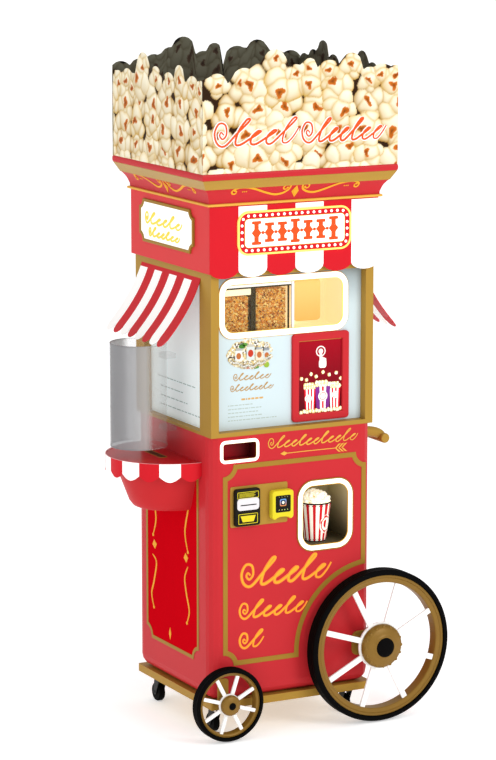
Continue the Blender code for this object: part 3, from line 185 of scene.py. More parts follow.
def speckle(scale, *stops):
    """A pattern of small cells, each with one of several colours."""
    def pattern(tree, where):
        cells = add_node(tree, "ShaderNodeTexVoronoi", {"Vector": where, "Scale": scale})
        split = add_node(tree, "ShaderNodeSeparateColor", {0: cells.outputs["Color"]})
        ramp = add_node(tree, "ShaderNodeValToRGB", {0: split.outputs[0]})
        elements = ramp.color_ramp.elements
        while len(elements) < len(stops):
            elements.new(0.5)
        for number, (element, colour) in enumerate(zip(elements, stops)):
            element.position, element.color = number / (len(stops) - 1), colour
        return ramp.outputs["Color"]
    return pattern


FINISHES = {
    "red_enamel": dict(colour=rgb(194, 42, 48), roughness=0.4, Coat_Weight=0.05, Coat_Roughness=0.2),
    "deep_red": dict(colour=rgb(196, 6, 20), roughness=0.6, shine=0.0),
    "board_red": dict(colour=rgb(216, 58, 60), roughness=0.38, grain=180.0),
    "stripe_red": dict(colour=rgb(206, 20, 34), roughness=0.35, shine=0.12),
    # the white stripes glow a little though they are no lamp: painted light
    "glowing_stripe_white": dict(colour=rgb(252, 250, 248), roughness=0.35, spread=0.015, Emission_Strength=0.12),
    # lighter red for the lower tips of the red awning stripes
    "tip_red": dict(colour=rgb(206, 52, 58), roughness=0.5),
    "hem_pink": dict(colour=rgb(238, 170, 172), roughness=0.4),
    "tray_red": dict(colour=rgb(186, 14, 22), roughness=0.3, Coat_Weight=0.1, Coat_Roughness=0.1,
        relief=0.00002),
    "bowl_red": dict(colour=rgb(192, 40, 44), roughness=0.42),
    "gold": dict(colour=rgb(172, 134, 56), roughness=0.42, metallic=0.2, spread=0.08, patches=4.0,
        stretch=(1, 1, 0.35)),
    "wheel_gold": dict(colour=rgb(132, 98, 34), roughness=0.38, metallic=0.2, spread=0.10, patches=14.0,
        shine=0.25),
    "gold_trim": dict(colour=rgb(160, 122, 46), roughness=0.4, metallic=0.2, spread=0.08, patches=6.0),
    "gold_chrome": dict(colour=rgb(176, 138, 62), roughness=0.16, metallic=0.6, spread=0.12, patches=9.0,
        relief=0.0008, grain=14.0, stretch=(0.5, 0.5, 3)),
    "gold_ink": dict(colour=rgb(232, 166, 44), roughness=0.45, spread=0.10, patches=20.0),
    "gold_line": dict(colour=rgb(226, 170, 70), roughness=0.4, spread=0.08, patches=20.0),
    "orange_ink": dict(colour=rgb(250, 172, 48), roughness=0.45, spread=0.08, patches=25.0),
    "orange_edge": dict(colour=rgb(246, 126, 62), roughness=0.45, spread=0.08, patches=25.0),
    "yellow_ink": dict(colour=rgb(250, 224, 90), roughness=0.45, spread=0.08, patches=25.0),
    "copper_ink": dict(colour=rgb(186, 148, 92), roughness=0.5, spread=0.10, patches=40.0),
    "grey_ink": dict(colour=rgb(176, 190, 188), roughness=0.5, spread=0.10, patches=60.0),
    "vermilion": dict(colour=rgb(236, 84, 34), roughness=0.4, spread=0.06, patches=18.0),
    # darker toward its top, under the header: painted shade
    "pale_panel": dict(roughness=0.4, spread=0.02,
        pattern=blend_up(1.62, 1.79, rgb(206, 222, 226), rgb(158, 172, 176))),
    # a lit copy of the pale panel for the side panels: lighter colour and a faint glow as painted light
    "pale_side_lit": dict(colour=rgb(236, 248, 248), roughness=0.4, spread=0.02, Emission_Strength=0.10),
    "white_gloss": dict(colour=rgb(253, 252, 250), roughness=0.28, spread=0.01),
    # the side signs' white face glows though it is no lamp: painted light
    "glowing_sign_white": dict(colour=rgb(255, 254, 250), roughness=0.3, spread=0.01, Emission_Strength=0.25),
    "lamp_white": dict(colour=rgb(255, 252, 240), roughness=0.3, spread=0.01, Emission_Strength=0.9),
    "lamp_yellow": dict(colour=rgb(255, 222, 112), roughness=0.35, spread=0.02, Emission_Strength=0.35),
    "bulb": dict(colour=rgb(255, 255, 252), roughness=0.2, spread=0.01, Emission_Strength=0.8),
    "picture": dict(roughness=0.35, spread=0.03, patches=30.0, pattern=painted),
    "lit_picture": dict(roughness=0.12, spread=0.03, patches=12.0, pattern=painted,
        Emission_Strength=0.3),
    "popcorn_print": dict(roughness=0.5, spread=0.04, patches=45.0, grain=420.0,
        relief=0.0004, pattern=painted),
    # the popcorn glows though it is no lamp: painted light
    "popcorn": dict(roughness=0.65, spread=0.05, patches=160.0, grain=900.0,
        relief=0.0004, pattern=painted, Emission_Strength=0.45),
    "corn": dict(roughness=0.3, spread=0.25, patches=300.0,
        pattern=speckle(150.0, rgb(96, 42, 10), rgb(222, 132, 30), rgb(246, 186, 76), rgb(176, 88, 20),
                        rgb(255, 226, 140), rgb(214, 120, 26))),
    # the window liner glows though it is no lamp: painted light
    "glowing_warm_wall": dict(colour=rgb(250, 232, 190), roughness=0.5, spread=0.03, Emission_Strength=0.30),
    # the amber panel glows though it is no lamp: painted light; its colour also runs lighter toward the top
    "amber_panel": dict(roughness=0.35, spread=0.02, Emission_Strength=0.12,
        pattern=blend_up(1.58, 1.74, rgb(232, 172, 84), rgb(240, 192, 110))),
    "dark_olive": dict(colour=rgb(58, 46, 18), roughness=0.4, spread=0.3, patches=40.0),
    # darker toward the bottom of the pickup niche: painted shade in the recess
    "shaded_niche": dict(roughness=0.45, spread=0.03,
        pattern=blend_up(0.70, 0.98, rgb(84, 78, 56), rgb(224, 212, 168))),
    # the bag slot pocket runs darker to the right: painted shade in the pocket
    "shaded_slot_red": dict(roughness=0.4, spread=0.04,
        pattern=blend_up(-0.31, -0.17, rgb(176, 24, 36), rgb(96, 22, 22), "X")),
    "clear": dict(colour=rgb(190, 196, 190), roughness=0.06, spread=0.01, relief=0.00001, Alpha=0.02),
    "bin_clear": dict(colour=rgb(200, 170, 110), roughness=0.08, spread=0.01, relief=0.00001, Alpha=0.03),
    "smoke_clear": dict(roughness=0.16, spread=0.03, relief=0.00002, Alpha=0.66,
        pattern=blend_up(-0.605, -0.50, rgb(150, 150, 152), rgb(190, 190, 188), "X")),
    "black_plastic": dict(colour=rgb(26, 24, 20), roughness=0.42, spread=0.15, patches=60.0, grain=900.0),
    "yellow_plastic": dict(colour=rgb(224, 208, 44), roughness=0.4, spread=0.05, patches=30.0, grain=900.0),
    "grey_white": dict(colour=rgb(228, 224, 226), roughness=0.4, spread=0.03, patches=40.0),
    "rubber": dict(colour=rgb(5, 4, 4), roughness=0.6, spread=0.3, patches=30.0, grain=500.0, relief=0.0003,
        shine=0.04),
    # the cup's paper glows though it is no lamp: painted light
    "glowing_paper_white": dict(colour=rgb(250, 244, 228), roughness=0.6, spread=0.03, patches=60.0, grain=900.0,
        Emission_Strength=0.3),
    "glowing_paper_red": dict(colour=rgb(206, 26, 34), roughness=0.55, Emission_Strength=0.15, spread=0.05,
        patches=60.0, grain=900.0),
    "paper_black": dict(colour=rgb(34, 26, 24), roughness=0.6, spread=0.1, patches=60.0),
    "steel": dict(colour=rgb(170, 172, 174), roughness=0.3, metallic=1.0, spread=0.08, patches=60.0,
        stretch=(1, 1, 8)),
    "kettle_steel": dict(colour=rgb(196, 196, 198), roughness=0.22, metallic=1.0, spread=0.06, patches=20.0),
    "black_metal": dict(colour=rgb(40, 40, 42), roughness=0.4, metallic=0.7, spread=0.1, patches=60.0),
    "floor": dict(colour=rgb(252, 252, 252), roughness=0.7, spread=0.0, Emission_Strength=0.42),
}
PAINT = {name: finish(name, **look) for name, look in FINISHES.items()}


clearer_toward(PAINT["smoke_clear"], -0.535, -0.505, 0.62, 0.10)


# ---------------------------------------------------------------- outlines and strokes

def rounded_rect(low_x, low_y, high_x, high_y, radius, inset=0.0, steps=8):
    """A rectangle with round corners, drawn smaller by the inset."""
    radius = max(radius - inset, 0.0005)
    left, right = low_x + inset + radius, high_x - inset - radius
    bottom, top = low_y + inset + radius, high_y - inset - radius
    points = []
    for quarter, (x, y) in enumerate(((right, bottom), (right, top), (left, top), (left, bottom))):
        for step in range(steps + 1):
            angle = math.radians(90 * (quarter - 1 + step / steps))
            points.append((x + radius * math.cos(angle), y + radius * math.sin(angle)))
    return points


def ring_line(low, high, radius, steps=8):
    """The rounded outline of a box on a side plane, as a function of its inset."""
    return lambda inset: rounded_rect(low.x, low.y, high.x, high.y, radius, inset, steps)


def notched_rect(low_x, low_y, high_x, high_y, notch, inset=0.0, steps=8):
    """A rectangle whose corners are cut by hollow quarter circles."""
    points = []
    for quarter, (x, y) in enumerate(((high_x, low_y), (high_x, high_y), (low_x, high_y), (low_x, low_y))):
        reach = notch + inset
        first = math.asin(min(inset / reach, 0.7))
        for step in range(steps + 1):
            angle = first + (math.pi / 2 - 2 * first) * step / steps
            corner = math.radians({0: 180, 1: 270, 2: 0, 3: 90}[quarter])
            points.append((x + reach * math.cos(corner - angle), y + reach * math.sin(corner - angle)))
    return points


def disc(x, y, radius, radius_y=None, steps=14, turn=0.0):
    """A circle or oval; four steps make a lozenge."""
    angles = [math.tau * step / steps + turn for step in range(steps)]
    return [(x + radius * math.cos(a), y + (radius_y or radius) * math.sin(a)) for a in angles]


def bar(low_x, low_y, high_x, high_y):
    return [(low_x, low_y), (high_x, low_y), (high_x, high_y), (low_x, high_y)]


def smooth_line(points, steps=6):
    """A curve through the points."""
    spots = np.array([points[0], *points, points[-1]], float)
    line = []
    for a, b, c, d in zip(spots, spots[1:], spots[2:], spots[3:]):
        for step in range(steps):
            t = step / steps
            line.append(0.5 * (2 * b + (c - a) * t + (2 * a - 5 * b + 4 * c - d) * t * t
                               + (3 * b - a - 3 * c + d) * t ** 3))
    line.append(spots[-1])
    return np.array(line)


def pen_loops(start, length, height, loops, slant=0.35, seed=1):
    """A line of running pen loops after one large opening curl, for use as ornament."""
    rng = np.random.default_rng(seed)
    x, y = start
    big = height * 0.5
    points = [(x + big * 0.62, y + big * 0.75), (x + big * 0.42, y + big * 0.95),
              (x + big * 0.3, y + big * 0.7), (x + big * 0.55, y + big * 0.45),
              (x + big * 0.85, y + big * 0.8), (x + big * 0.75, y + big * 1.45),
              (x + big * 0.25, y + big * 1.55), (x - big * 0.1, y + big * 0.9),
              (x + big * 0.1, y + big * 0.15), (x + big * 0.7, y - big * 0.05)]
    pitch = (length - big) / loops
    for number in range(loops):
        tall = height * (0.95 if number % 3 == 0 else 0.5) * rng.uniform(0.85, 1.0)
        left = x + big + pitch * number
        for along, up in ((0.25, 0.45), (0.75, 0.95), (0.55, 1.0), (0.30, 0.55), (0.40, 0.06), (0.75, 0.0)):
            points.append((left + pitch * along + slant * tall * up, y + tall * up))
    points += [(x + length + height * 0.1, y + height * 0.22), (x + length + height * 0.3, y + height * 0.5)]
    return points


# ---------------------------------------------------------------- solids

SINK = 0.001
LEVEL_STEP = 0.00022


def add_loops(bm, loops, ends=True, closed=False, finish_number=0):
    """Skins a row of loops; ends caps the first and last one, closed joins them instead."""
    rings = [[bm.verts.new(point) for point in loop] for loop in loops]
    faces = []
    for lower, upper in zip(rings, rings[1:] + rings[:1] if closed else rings[1:]):
        for number in range(len(lower)):
            after = (number + 1) % len(lower)
            faces.append(bm.faces.new((lower[number], lower[after], upper[after], upper[number])))
    if ends and not closed:
        faces += [bm.faces.new(rings[0][::-1]), bm.faces.new(rings[-1])]
    for new_face in faces:
        new_face.material_index = finish_number
    return faces


def at_height(outline, height):
    return [(x, y, height) for x, y in outline]


def add_plate(bm, outline, low, high, edge=0.0, outline_inset=None, finish_number=0):
    """A flat solid. With outline_inset, the outline drawn smaller by edge, its front edge is rounded."""
    loops = [at_height(outline, low), at_height(outline, high - edge)]
    if outline_inset:
        for share in (0.3, 0.65, 1.0):
            lift = math.sin(share * math.pi / 2)
            loops.append(at_height(outline_inset(edge * (1 - math.cos(share * math.pi / 2))),
                                   high - edge + edge * lift))
    elif edge:
        loops.append(at_height(outline, high))
    return add_loops(bm, loops, finish_number=finish_number)


def add_rim(bm, outline, inner, low, high, edge, finish_number=0):
    """A ring between two insets of one outline function, with rounded front edges."""
    loops = [at_height(outline(0), low), at_height(outline(0), high - edge)]
    for share in (0.35, 0.7, 1.0):
        angle = share * math.pi / 2
        loops.append(at_height(outline(edge * (1 - math.cos(angle))), high - edge + edge * math.sin(angle)))
    for share in (1.0, 0.7, 0.35):
        angle = share * math.pi / 2
        loops.append(at_height(outline(inner - edge * (1 - math.cos(angle))),
                               high - edge + edge * math.sin(angle)))
    loops += [at_height(outline(inner), high - edge), at_height(outline(inner), low)]
    return add_loops(bm, loops, closed=True, finish_number=finish_number)


def add_stroke(bm, line, width, low, high, thin=0.35, finish_number=0):
    """A painted pen stroke along a line, widest in its middle, as a low closed solid."""
    line = np.asarray(line, float)
    ahead = np.gradient(line, axis=0)
    ahead /= np.maximum(np.linalg.norm(ahead, axis=1), 1e-9)[:, None]
    shares = np.linspace(0, 1, len(line))
    half = width / 2 * (thin + (1 - thin) * np.sin(np.pi * shares) ** 0.7)
    turning = np.linalg.norm(np.gradient(ahead, axis=0), axis=1)
    travel = np.linalg.norm(np.gradient(line, axis=0), axis=1)
    half = np.minimum(half, 0.85 * travel / np.maximum(turning, 1e-6))
    half = np.convolve(np.pad(half, 2, mode="edge"), np.ones(5) / 5, mode="valid")
    side = np.stack([-ahead[:, 1], ahead[:, 0]], 1) * half[:, None]
    loops = []
    for (lx, ly), (rx, ry), share in zip(line + side, line - side, shares):
        top = high + 0.0003 * share
        loops.append([(lx, ly, low), (rx, ry, low), (rx, ry, top), (lx, ly, top)])
    return add_loops(bm, loops, finish_number=finish_number)


def raised(wall, rise):
    """Low and high face of a thin shape that is sunk a little into a wall and stands proud of it."""
    return wall - SINK, wall + rise


def add_flourish(bm, start, length, height, loops, seed, width, low, high, thin, slant=0.35, steps=5):
    """A pen stroke that runs along a line of pen loops."""
    line = smooth_line(pen_loops(start, length, height, loops, slant=slant, seed=seed), steps)
    add_stroke(bm, line, width, low, high, thin=thin)


def add_turned(bm, profile, centre=(0, 0, 0), segments=48, finish_number=0, axis="Z"):
    """A solid turned from (radius, height) points; a radius of nought closes it on its axis."""
    rings = []
    for radius, height in profile:
        ring = []
        for step in range(1 if radius < 1e-7 else segments):
            angle = math.tau * step / segments
            point = Vector((radius * math.cos(angle), radius * math.sin(angle), height))
            if axis == "X":
                point = Vector((point.z, point.x, point.y))
            ring.append(bm.verts.new(point + Vector(centre)))
        rings.append(ring)
    for lower, upper in zip(rings, rings[1:]):
        count = max(len(lower), len(upper))
        for number in range(count):
            after = (number + 1) % count
            corners = [lower[number % len(lower)], lower[after % len(lower)], upper[after % len(upper)],
                       upper[number % len(upper)]]
            corners = list(dict.fromkeys(corners))
            if len(corners) > 2:
                bm.faces.new(corners).material_index = finish_number
    if len(rings[0]) > 1 and len(rings[-1]) > 1:
        lower, upper = rings[-1], rings[0]
        for number in range(segments):
            after = (number + 1) % segments
            bm.faces.new((lower[number], lower[after], upper[after],
                          upper[number])).material_index = finish_number


def add_box(bm, low, high, finish_number=0):
    outline = bar(low[0], low[1], high[0], high[1])
    return add_loops(bm, [at_height(outline, low[2]), at_height(outline, high[2])],
                     finish_number=finish_number)


def draw(bm, outline, level, colour, top_colour=None):
    """One flat shape of a picture, in one colour or in a blend from its lowest to its highest corner."""
    layer = bm.loops.layers.float_color.get("paint") or bm.loops.layers.float_color.new("paint")
    faces = add_loops(bm, [at_height(outline, 0.0), at_height(outline, 0.0002 + LEVEL_STEP * level)])
    tops = [vert.co.y for face in faces for vert in face.verts]
    low, high = min(tops), max(tops)
    for loop in (loop for face in faces for loop in face.loops):
        share = (loop.vert.co.y - low) / max(high - low, 1e-9) if top_colour else 0.0
        loop[layer] = [a + (b - a) * share for a, b in zip(colour, top_colour or colour)]


def piece(name, source, finishes, body="cabinet", stands_for=(), side=None, out=0.0, sharp=32,
          mend=True):
    """Makes a finished piece that rides on a body; with a side, it was drawn in that side's plane."""
    if isinstance(source, bmesh.types.BMesh):
        if mend:
            bmesh.ops.recalc_face_normals(source, faces=source.faces)
        mesh = bpy.data.meshes.new(name)
        source.to_mesh(mesh)
        source.free()
    else:
        mesh = source
        mesh.name = name
    if side:
        mesh.transform(side_plane(side, out))
    mesh.shade_smooth()
    mesh.set_sharp_from_angle(angle=math.radians(sharp))
    if mesh.materials:
        mesh.materials.clear()
    for label in finishes:
        mesh.materials.append(PAINT[label])
    obj = bpy.data.objects.new(name, mesh)
    bpy.context.scene.collection.objects.link(obj)
    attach(obj, body)
    if stands_for:
        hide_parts(*stands_for)
    return obj


# ---------------------------------------------------------------- repeats

def repeat_tree(name, inputs, build):
    """A Geometry Nodes tree with named inputs; it ends in Realize Instances and Set Material."""
    tree = bpy.data.node_groups.new(name, "GeometryNodeTree")
    tree.interface.new_socket("Geometry", in_out="INPUT", socket_type="NodeSocketGeometry")
    for label, kind in inputs + (("Piece", "NodeSocketObject"), ("Finish", "NodeSocketMaterial")):
        tree.interface.new_socket(label, in_out="INPUT", socket_type=kind)
    tree.interface.new_socket("Geometry", in_out="OUTPUT", socket_type="NodeSocketGeometry")
    given = add_node(tree, "NodeGroupInput").outputs
    item = add_node(tree, "GeometryNodeObjectInfo", {"Object": given["Piece"]})
    place = add_node(tree, "GeometryNodeInstanceOnPoints",
                     {"Instance": item.outputs["Geometry"], **build(tree, given)})
    whole = add_node(tree, "GeometryNodeRealizeInstances", {"Geometry": place.outputs["Instances"]})
    painted_whole = add_node(tree, "GeometryNodeSetMaterial",
                             {"Geometry": whole.outputs["Geometry"], "Material": given["Finish"]})
    add_node(tree, "NodeGroupOutput", {"Geometry": painted_whole.outputs["Geometry"]})
    return tree


def row_nodes(tree, given):
    """Places at an even count along each edge path of the base, turned along it."""
    path = add_node(tree, "GeometryNodeMeshToCurve", {"Mesh": given["Geometry"]})
    spaced = add_node(tree, "GeometryNodeResampleCurve",
                      {"Curve": path.outputs["Curve"], "Count": given["Count"]})
    tangent = add_node(tree, "GeometryNodeInputTangent")
    turn = add_node(tree, "FunctionNodeAxesToRotation",
                    {"Primary Axis": (0, 0, 1), "Secondary Axis": tangent.outputs["Tangent"]},
                    primary_axis="Z", secondary_axis="X")
    return {"Points": spaced.outputs["Curve"], "Rotation": turn.outputs["Rotation"]}


def heap_nodes(tree, given):
    """Places strewn over the faces of the base, each turned and sized at random."""
    strew = add_node(tree, "GeometryNodeDistributePointsOnFaces", distribute_method="POISSON")
    feed(tree, strew, {"Mesh": given["Geometry"], "Distance Min": given["Spacing"], "Density Max": 1000000.0,
                       "Seed": given["Seed"]})
    turn = add_node(tree, "FunctionNodeRandomValue", {1: (math.tau,) * 3, "Seed": given["Seed"]},
                    data_type="FLOAT_VECTOR")
    size = add_node(tree, "FunctionNodeRandomValue",
                    {2: given["Smallest"], 3: given["Largest"], "Seed": given["Seed"]})
    return {"Points": strew.outputs["Points"], "Rotation": turn.outputs[0],
            "Scale": next(s for s in size.outputs if s.type == "VALUE")}


ROW = repeat_tree("row_along_path", (("Count", "NodeSocketInt"),), row_nodes)
HEAP = repeat_tree("heap_on_faces", (("Spacing", "NodeSocketFloat"), ("Smallest", "NodeSocketFloat"),
                                     ("Largest", "NodeSocketFloat"), ("Seed", "NodeSocketInt")), heap_nodes)


def repeated(tree, base, item, finish_name, **settings):
    """Runs a repeat tree over the base mesh and returns what it makes as a plain mesh."""
    template = bpy.data.objects.new("item", item)
    holder = bpy.data.objects.new("repeat", base)
    bpy.context.scene.collection.objects.link(holder)
    modifier = holder.modifiers.new("repeat", "NODES")
    modifier.node_group = tree
    settings.update(Piece=template, Finish=PAINT[finish_name])
    for socket in tree.interface.items_tree:
        if socket.item_type == "SOCKET" and socket.in_out == "INPUT" and socket.name in settings:
            modifier[socket.identifier] = settings[socket.name]
    mesh = bpy.data.meshes.new_from_object(holder.evaluated_get(bpy.context.evaluated_depsgraph_get()))
    holder.modifiers.clear()
    bpy.data.objects.remove(holder)
    bpy.data.objects.remove(template)
    return mesh


def mesh_of(bm):
    bmesh.ops.recalc_face_normals(bm, faces=bm.faces)
    mesh = bpy.data.meshes.new("base")
    bm.to_mesh(mesh)
    bm.free()
    mesh.shade_smooth()
    return mesh


def path_mesh(points, closed=True):
    mesh = bpy.data.meshes.new("path")
    count = len(points)
    mesh.from_pydata(points, [(i, (i + 1) % count) for i in range(count if closed else count - 1)], [])
    return mesh


def dome_item(radius, height):
    """A small screw or lamp head that stands on its flat foot."""
    bm = bmesh.new()
    arc = [(radius * math.cos(a), height * math.sin(a))
           for a in (math.pi / 2 * step / 3 for step in range(3))]
    add_turned(bm, [(0.0, 0.0)] + arc + [(0.0, height)], segments=12)
    return mesh_of(bm)


# ---------------------------------------------------------------- CAD nodes that stay

KEPT = {
    "gold": ("base_plate", "payment_plate", "big_wheel_axle", "small_wheel_axle", "upper_frame"),
    "red_enamel": ("lower_cabinet", "rear_door", "upper_rear_panel"),
    "board_red": ("header_box",),
    "pale_panel": ("front_panel",),
    "pale_side_lit": ("left_panel", "right_panel"),
    "clear": ("kernel_window_pane", "pickup_shutter"),
    "bin_clear": ("kernel_bin_left", "kernel_bin_right"),
    "glowing_warm_wall": ("window_liner",),
    "shaded_niche": ("pickup_box",),
    "steel": ("door_lock", "stirrer"),
    "kettle_steel": ("popping_kettle",),
    "black_plastic": ("controller_box",),
    "black_metal": tuple(n for n in NODES if n.startswith("castor_fork")),
    "rubber": tuple(n for n in NODES if n.startswith("castor_wheel")),
}
for label, names in KEPT.items():
    for node in names:
        mesh = NODES[node].data
        mesh.materials.clear()
        mesh.materials.append(PAINT[label])
        for polygon in mesh.polygons:
            polygon.material_index = 0
        mesh.set_sharp_from_angle(angle=math.radians(35))


# ---------------------------------------------------------------- header, crown and signs

def heights(node):
    low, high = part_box(node)
    return low.z, high.z


bead_low, bead_high = heights("gold_bead")
crown_low, crown_high = heights("crown_lip")
BEAD_OUT = -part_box("gold_bead")[0].y + CART.y - HALF_DEPTH
CROWN_OUT = -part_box("crown_lip")[0].y + CART.y - HALF_DEPTH
COVE = ((0.015, bead_high), (0.0155, 2.080), (0.019, 2.090), (0.0225, 2.100), (0.028, 2.110), (0.0355, 2.120),
        (0.041, 2.126))
COVE_MIDDLE = 2.102


def cove_out(height):
    return float(np.interp(height, [z for _, z in COVE], [out for out, _ in COVE]))


def moulding(name, profile, label, stands_for):
    """A frame moulding that goes round the cart, from (overhang, height) points."""
    bm = bmesh.new()
    loops = []
    for out, height in profile:
        x, y = HALF_WIDTH + out, HALF_DEPTH + out
        loops.append([(CART.x + a * x, CART.y + b * y, height) for a,
                      b in ((-1, -1), (1, -1), (1, 1), (-1, 1))])
    add_loops(bm, loops)
    return piece(name, bm, [label], stands_for=stands_for, sharp=25)


def round_nose(reach, low, high, flat=0.004):
    """The rounded front of a moulding, from its foot to its top."""
    middle, half = (low + high) / 2, (high - low) / 2
    angles = [math.pi * (step / 6 - 0.5) for step in range(7)]
    return [(reach - flat + flat * math.cos(a), middle + half * math.sin(a)) for a in angles]


moulding("gold_bead_moulding", [(0.005, bead_low)] + round_nose(BEAD_OUT, bead_low, bead_high - 0.0003)
         + [(0.005, bead_high - 0.0003)], "gold_line", ["gold_bead"])
moulding("red_cove", COVE, "red_enamel", ["cove_frieze"])
moulding("gold_chamfer", [(0.030, 2.126), (0.0445, 2.1265), (0.0455, 2.130), (0.0632, 2.1608),
                          (0.0632, crown_low - 0.0003), (0.030, crown_low - 0.0003)], "gold_chrome",
         [])
moulding("red_crown_lip", [(0.02, crown_low)] + round_nose(CROWN_OUT, crown_low, crown_high,
                                                           flat=0.003) + [(0.02, crown_high)], "red_enamel",
         ["crown_lip"])

SCROLL = ((-37, 16), (-43, 10), (-53, 13), (-53, 23), (-40, 29), (-30, 28), (-26, 23), (-28, 12), (-36, 4),
          (-55, -5), (-86, -8), (-127, 2), (-168, 16), (-204, 25), (-240, 27), (-265, 20), (-271, 11),
          (-265, 3),
          (-254, 4), (-253, 13), (-260, 16))


def cove_ornament(side):
    bm = bmesh.new()
    for way in (-1, 1):
        line = smooth_line([(-way * x / 1000, z / 1000) for x, z in SCROLL], 5)
        add_stroke(bm, line, 0.0075, -0.001, 0.0016, thin=0.45)
        for x, z in (SCROLL[0], SCROLL[-1]):
            add_plate(bm, disc(-way * x / 1000, z / 1000, 0.0042), -0.001, 0.0022)
        for number in range(3):
            add_plate(bm, disc(way * (0.209 + 0.008 * number), 0.010, 0.0026, steps=10), -0.001, 0.0018)
    add_plate(bm, disc(0, 0, 0.015, 0.024, steps=4), -0.001, 0.0012)
    add_plate(bm, disc(0, 0, 0.009, 0.015, steps=4), -0.001, 0.0028)
    for vert in bm.verts:
        vert.co.z += cove_out(COVE_MIDDLE + vert.co.y)
    squeeze, shift, out = (1.0, 0.007, HALF_DEPTH) if side == "front" else (0.95, 0.0, HALF_WIDTH)
    for vert in bm.verts:
        vert.co.x = vert.co.x * squeeze - shift
        vert.co.y += COVE_MIDDLE
    piece(f"cove_scrolls_{side}", bm, ["gold_ink"], side=side, out=out)


for side in ("front", "left", "right"):
    cove_ornament(side)


def scallop(low, high, base, depth):
    """A round tip between two places, from the low one to the high one."""
    middle, half = (low + high) / 2, (high - low) / 2
    angles = [math.pi * step / 10 for step in range(11)]
    return [(middle - half * math.cos(a), base - depth * math.sin(a)) for a in angles]


def make_valance():
    low, high = span("front_valance")
    bm = bmesh.new()
    width = (high.x - low.x) / 6
    for number in range(6):
        left, right = low.x + width * number, low.x + width * (number + 1)
        outline = scallop(left, right, low.y + 0.032, 0.032) + [(right, high.y), (left, high.y)]
        add_plate(bm, outline, low.z, high.z, finish_number=number % 2)
    piece("striped_valance", bm, ["stripe_red", "glowing_stripe_white"],
          stands_for=["front_valance"], side="front")


make_valance()


def make_marquee():
    low, high = span("marquee_sign")
    mid_x, mid_y = (low.x + high.x) / 2, (low.y + high.y) / 2
    outline = ring_line(low, high, 0.045, 10)
    bm = bmesh.new()
    add_plate(bm, outline(0.002), low.z, high.z - 0.005, finish_number=1)
    add_rim(bm, outline, 0.0075, low.z, high.z - 0.002, 0.002, finish_number=0)
    add_plate(bm, outline(0.030), high.z - 0.006, high.z - 0.0035, finish_number=2)
    add_rim(bm, lambda inset: outline(0.028 + inset), 0.003, high.z - 0.006, high.z - 0.003, 0.001,
            finish_number=3)
    piece("lit_marquee", bm, ["lamp_yellow", "stripe_red", "lamp_white", "gold_line"],
          stands_for=["marquee_sign"], side="front")
    path = path_mesh([(x, y, high.z - 0.0055) for x, y in outline(0.018)])
    bulbs = repeated(ROW, path, dome_item(0.0056, 0.0052), "bulb", Count=44)
    piece("marquee_bulbs", bulbs, ["bulb"], side="front")
    bm = bmesh.new()
    face_out = high.z - 0.0035
    for number in range(7):
        x = mid_x - 0.165 + 0.055 * number
        tall = 0.044 if number in (0, 3, 6) else 0.036
        add_plate(bm, bar(x - 0.0095, mid_y - tall, x + 0.0095, mid_y + tall), *raised(face_out, 0.0010))
        for way in (-1, 1):
            foot = mid_y + way * (tall - 0.005)
            add_plate(bm, rounded_rect(x - 0.0195, foot - 0.006, x + 0.0195, foot + 0.006, 0.003, 0, 3),
                      *raised(face_out, 0.0013))
        add_plate(bm, disc(x, mid_y, 0.021, 0.024, steps=4), *raised(face_out, 0.0016))
        if number:
            add_plate(bm, disc(x - 0.0275, mid_y, 0.0065), *raised(face_out, 0.0010))
    piece("marquee_ornament", bm, ["vermilion"], side="front")


make_marquee()


def make_side_sign(side):
    low, high = span(f"{side}_sign", side)

    def outline(inset):
        return notched_rect(low.x, low.y, high.x, high.y, 0.030, inset)

    bm = bmesh.new()
    add_plate(bm, outline(0.002), low.z, high.z - 0.003, finish_number=1)
    add_rim(bm, outline, 0.012, low.z, high.z, 0.002, finish_number=0)
    piece(f"{side}_notched_sign", bm, ["gold_trim", "glowing_sign_white"],
          stands_for=[f"{side}_sign"], side=side)
    bm = bmesh.new()
    for start, length, height, loops, seed in (((low.x + 0.055, low.y + 0.078), 0.300, 0.050, 5, 3),
                                               ((low.x + 0.085, low.y + 0.030), 0.255, 0.036, 6, 4)):
        add_flourish(bm, start, length, height, loops, seed, 0.0085, high.z - 0.004, high.z - 0.0015, 0.6)
    piece(f"{side}_sign_flourish", bm, ["yellow_ink"], side=side)


for side in ("left", "right"):
    make_side_sign(side)


# ---------------------------------------------------------------- popcorn boards on the crown

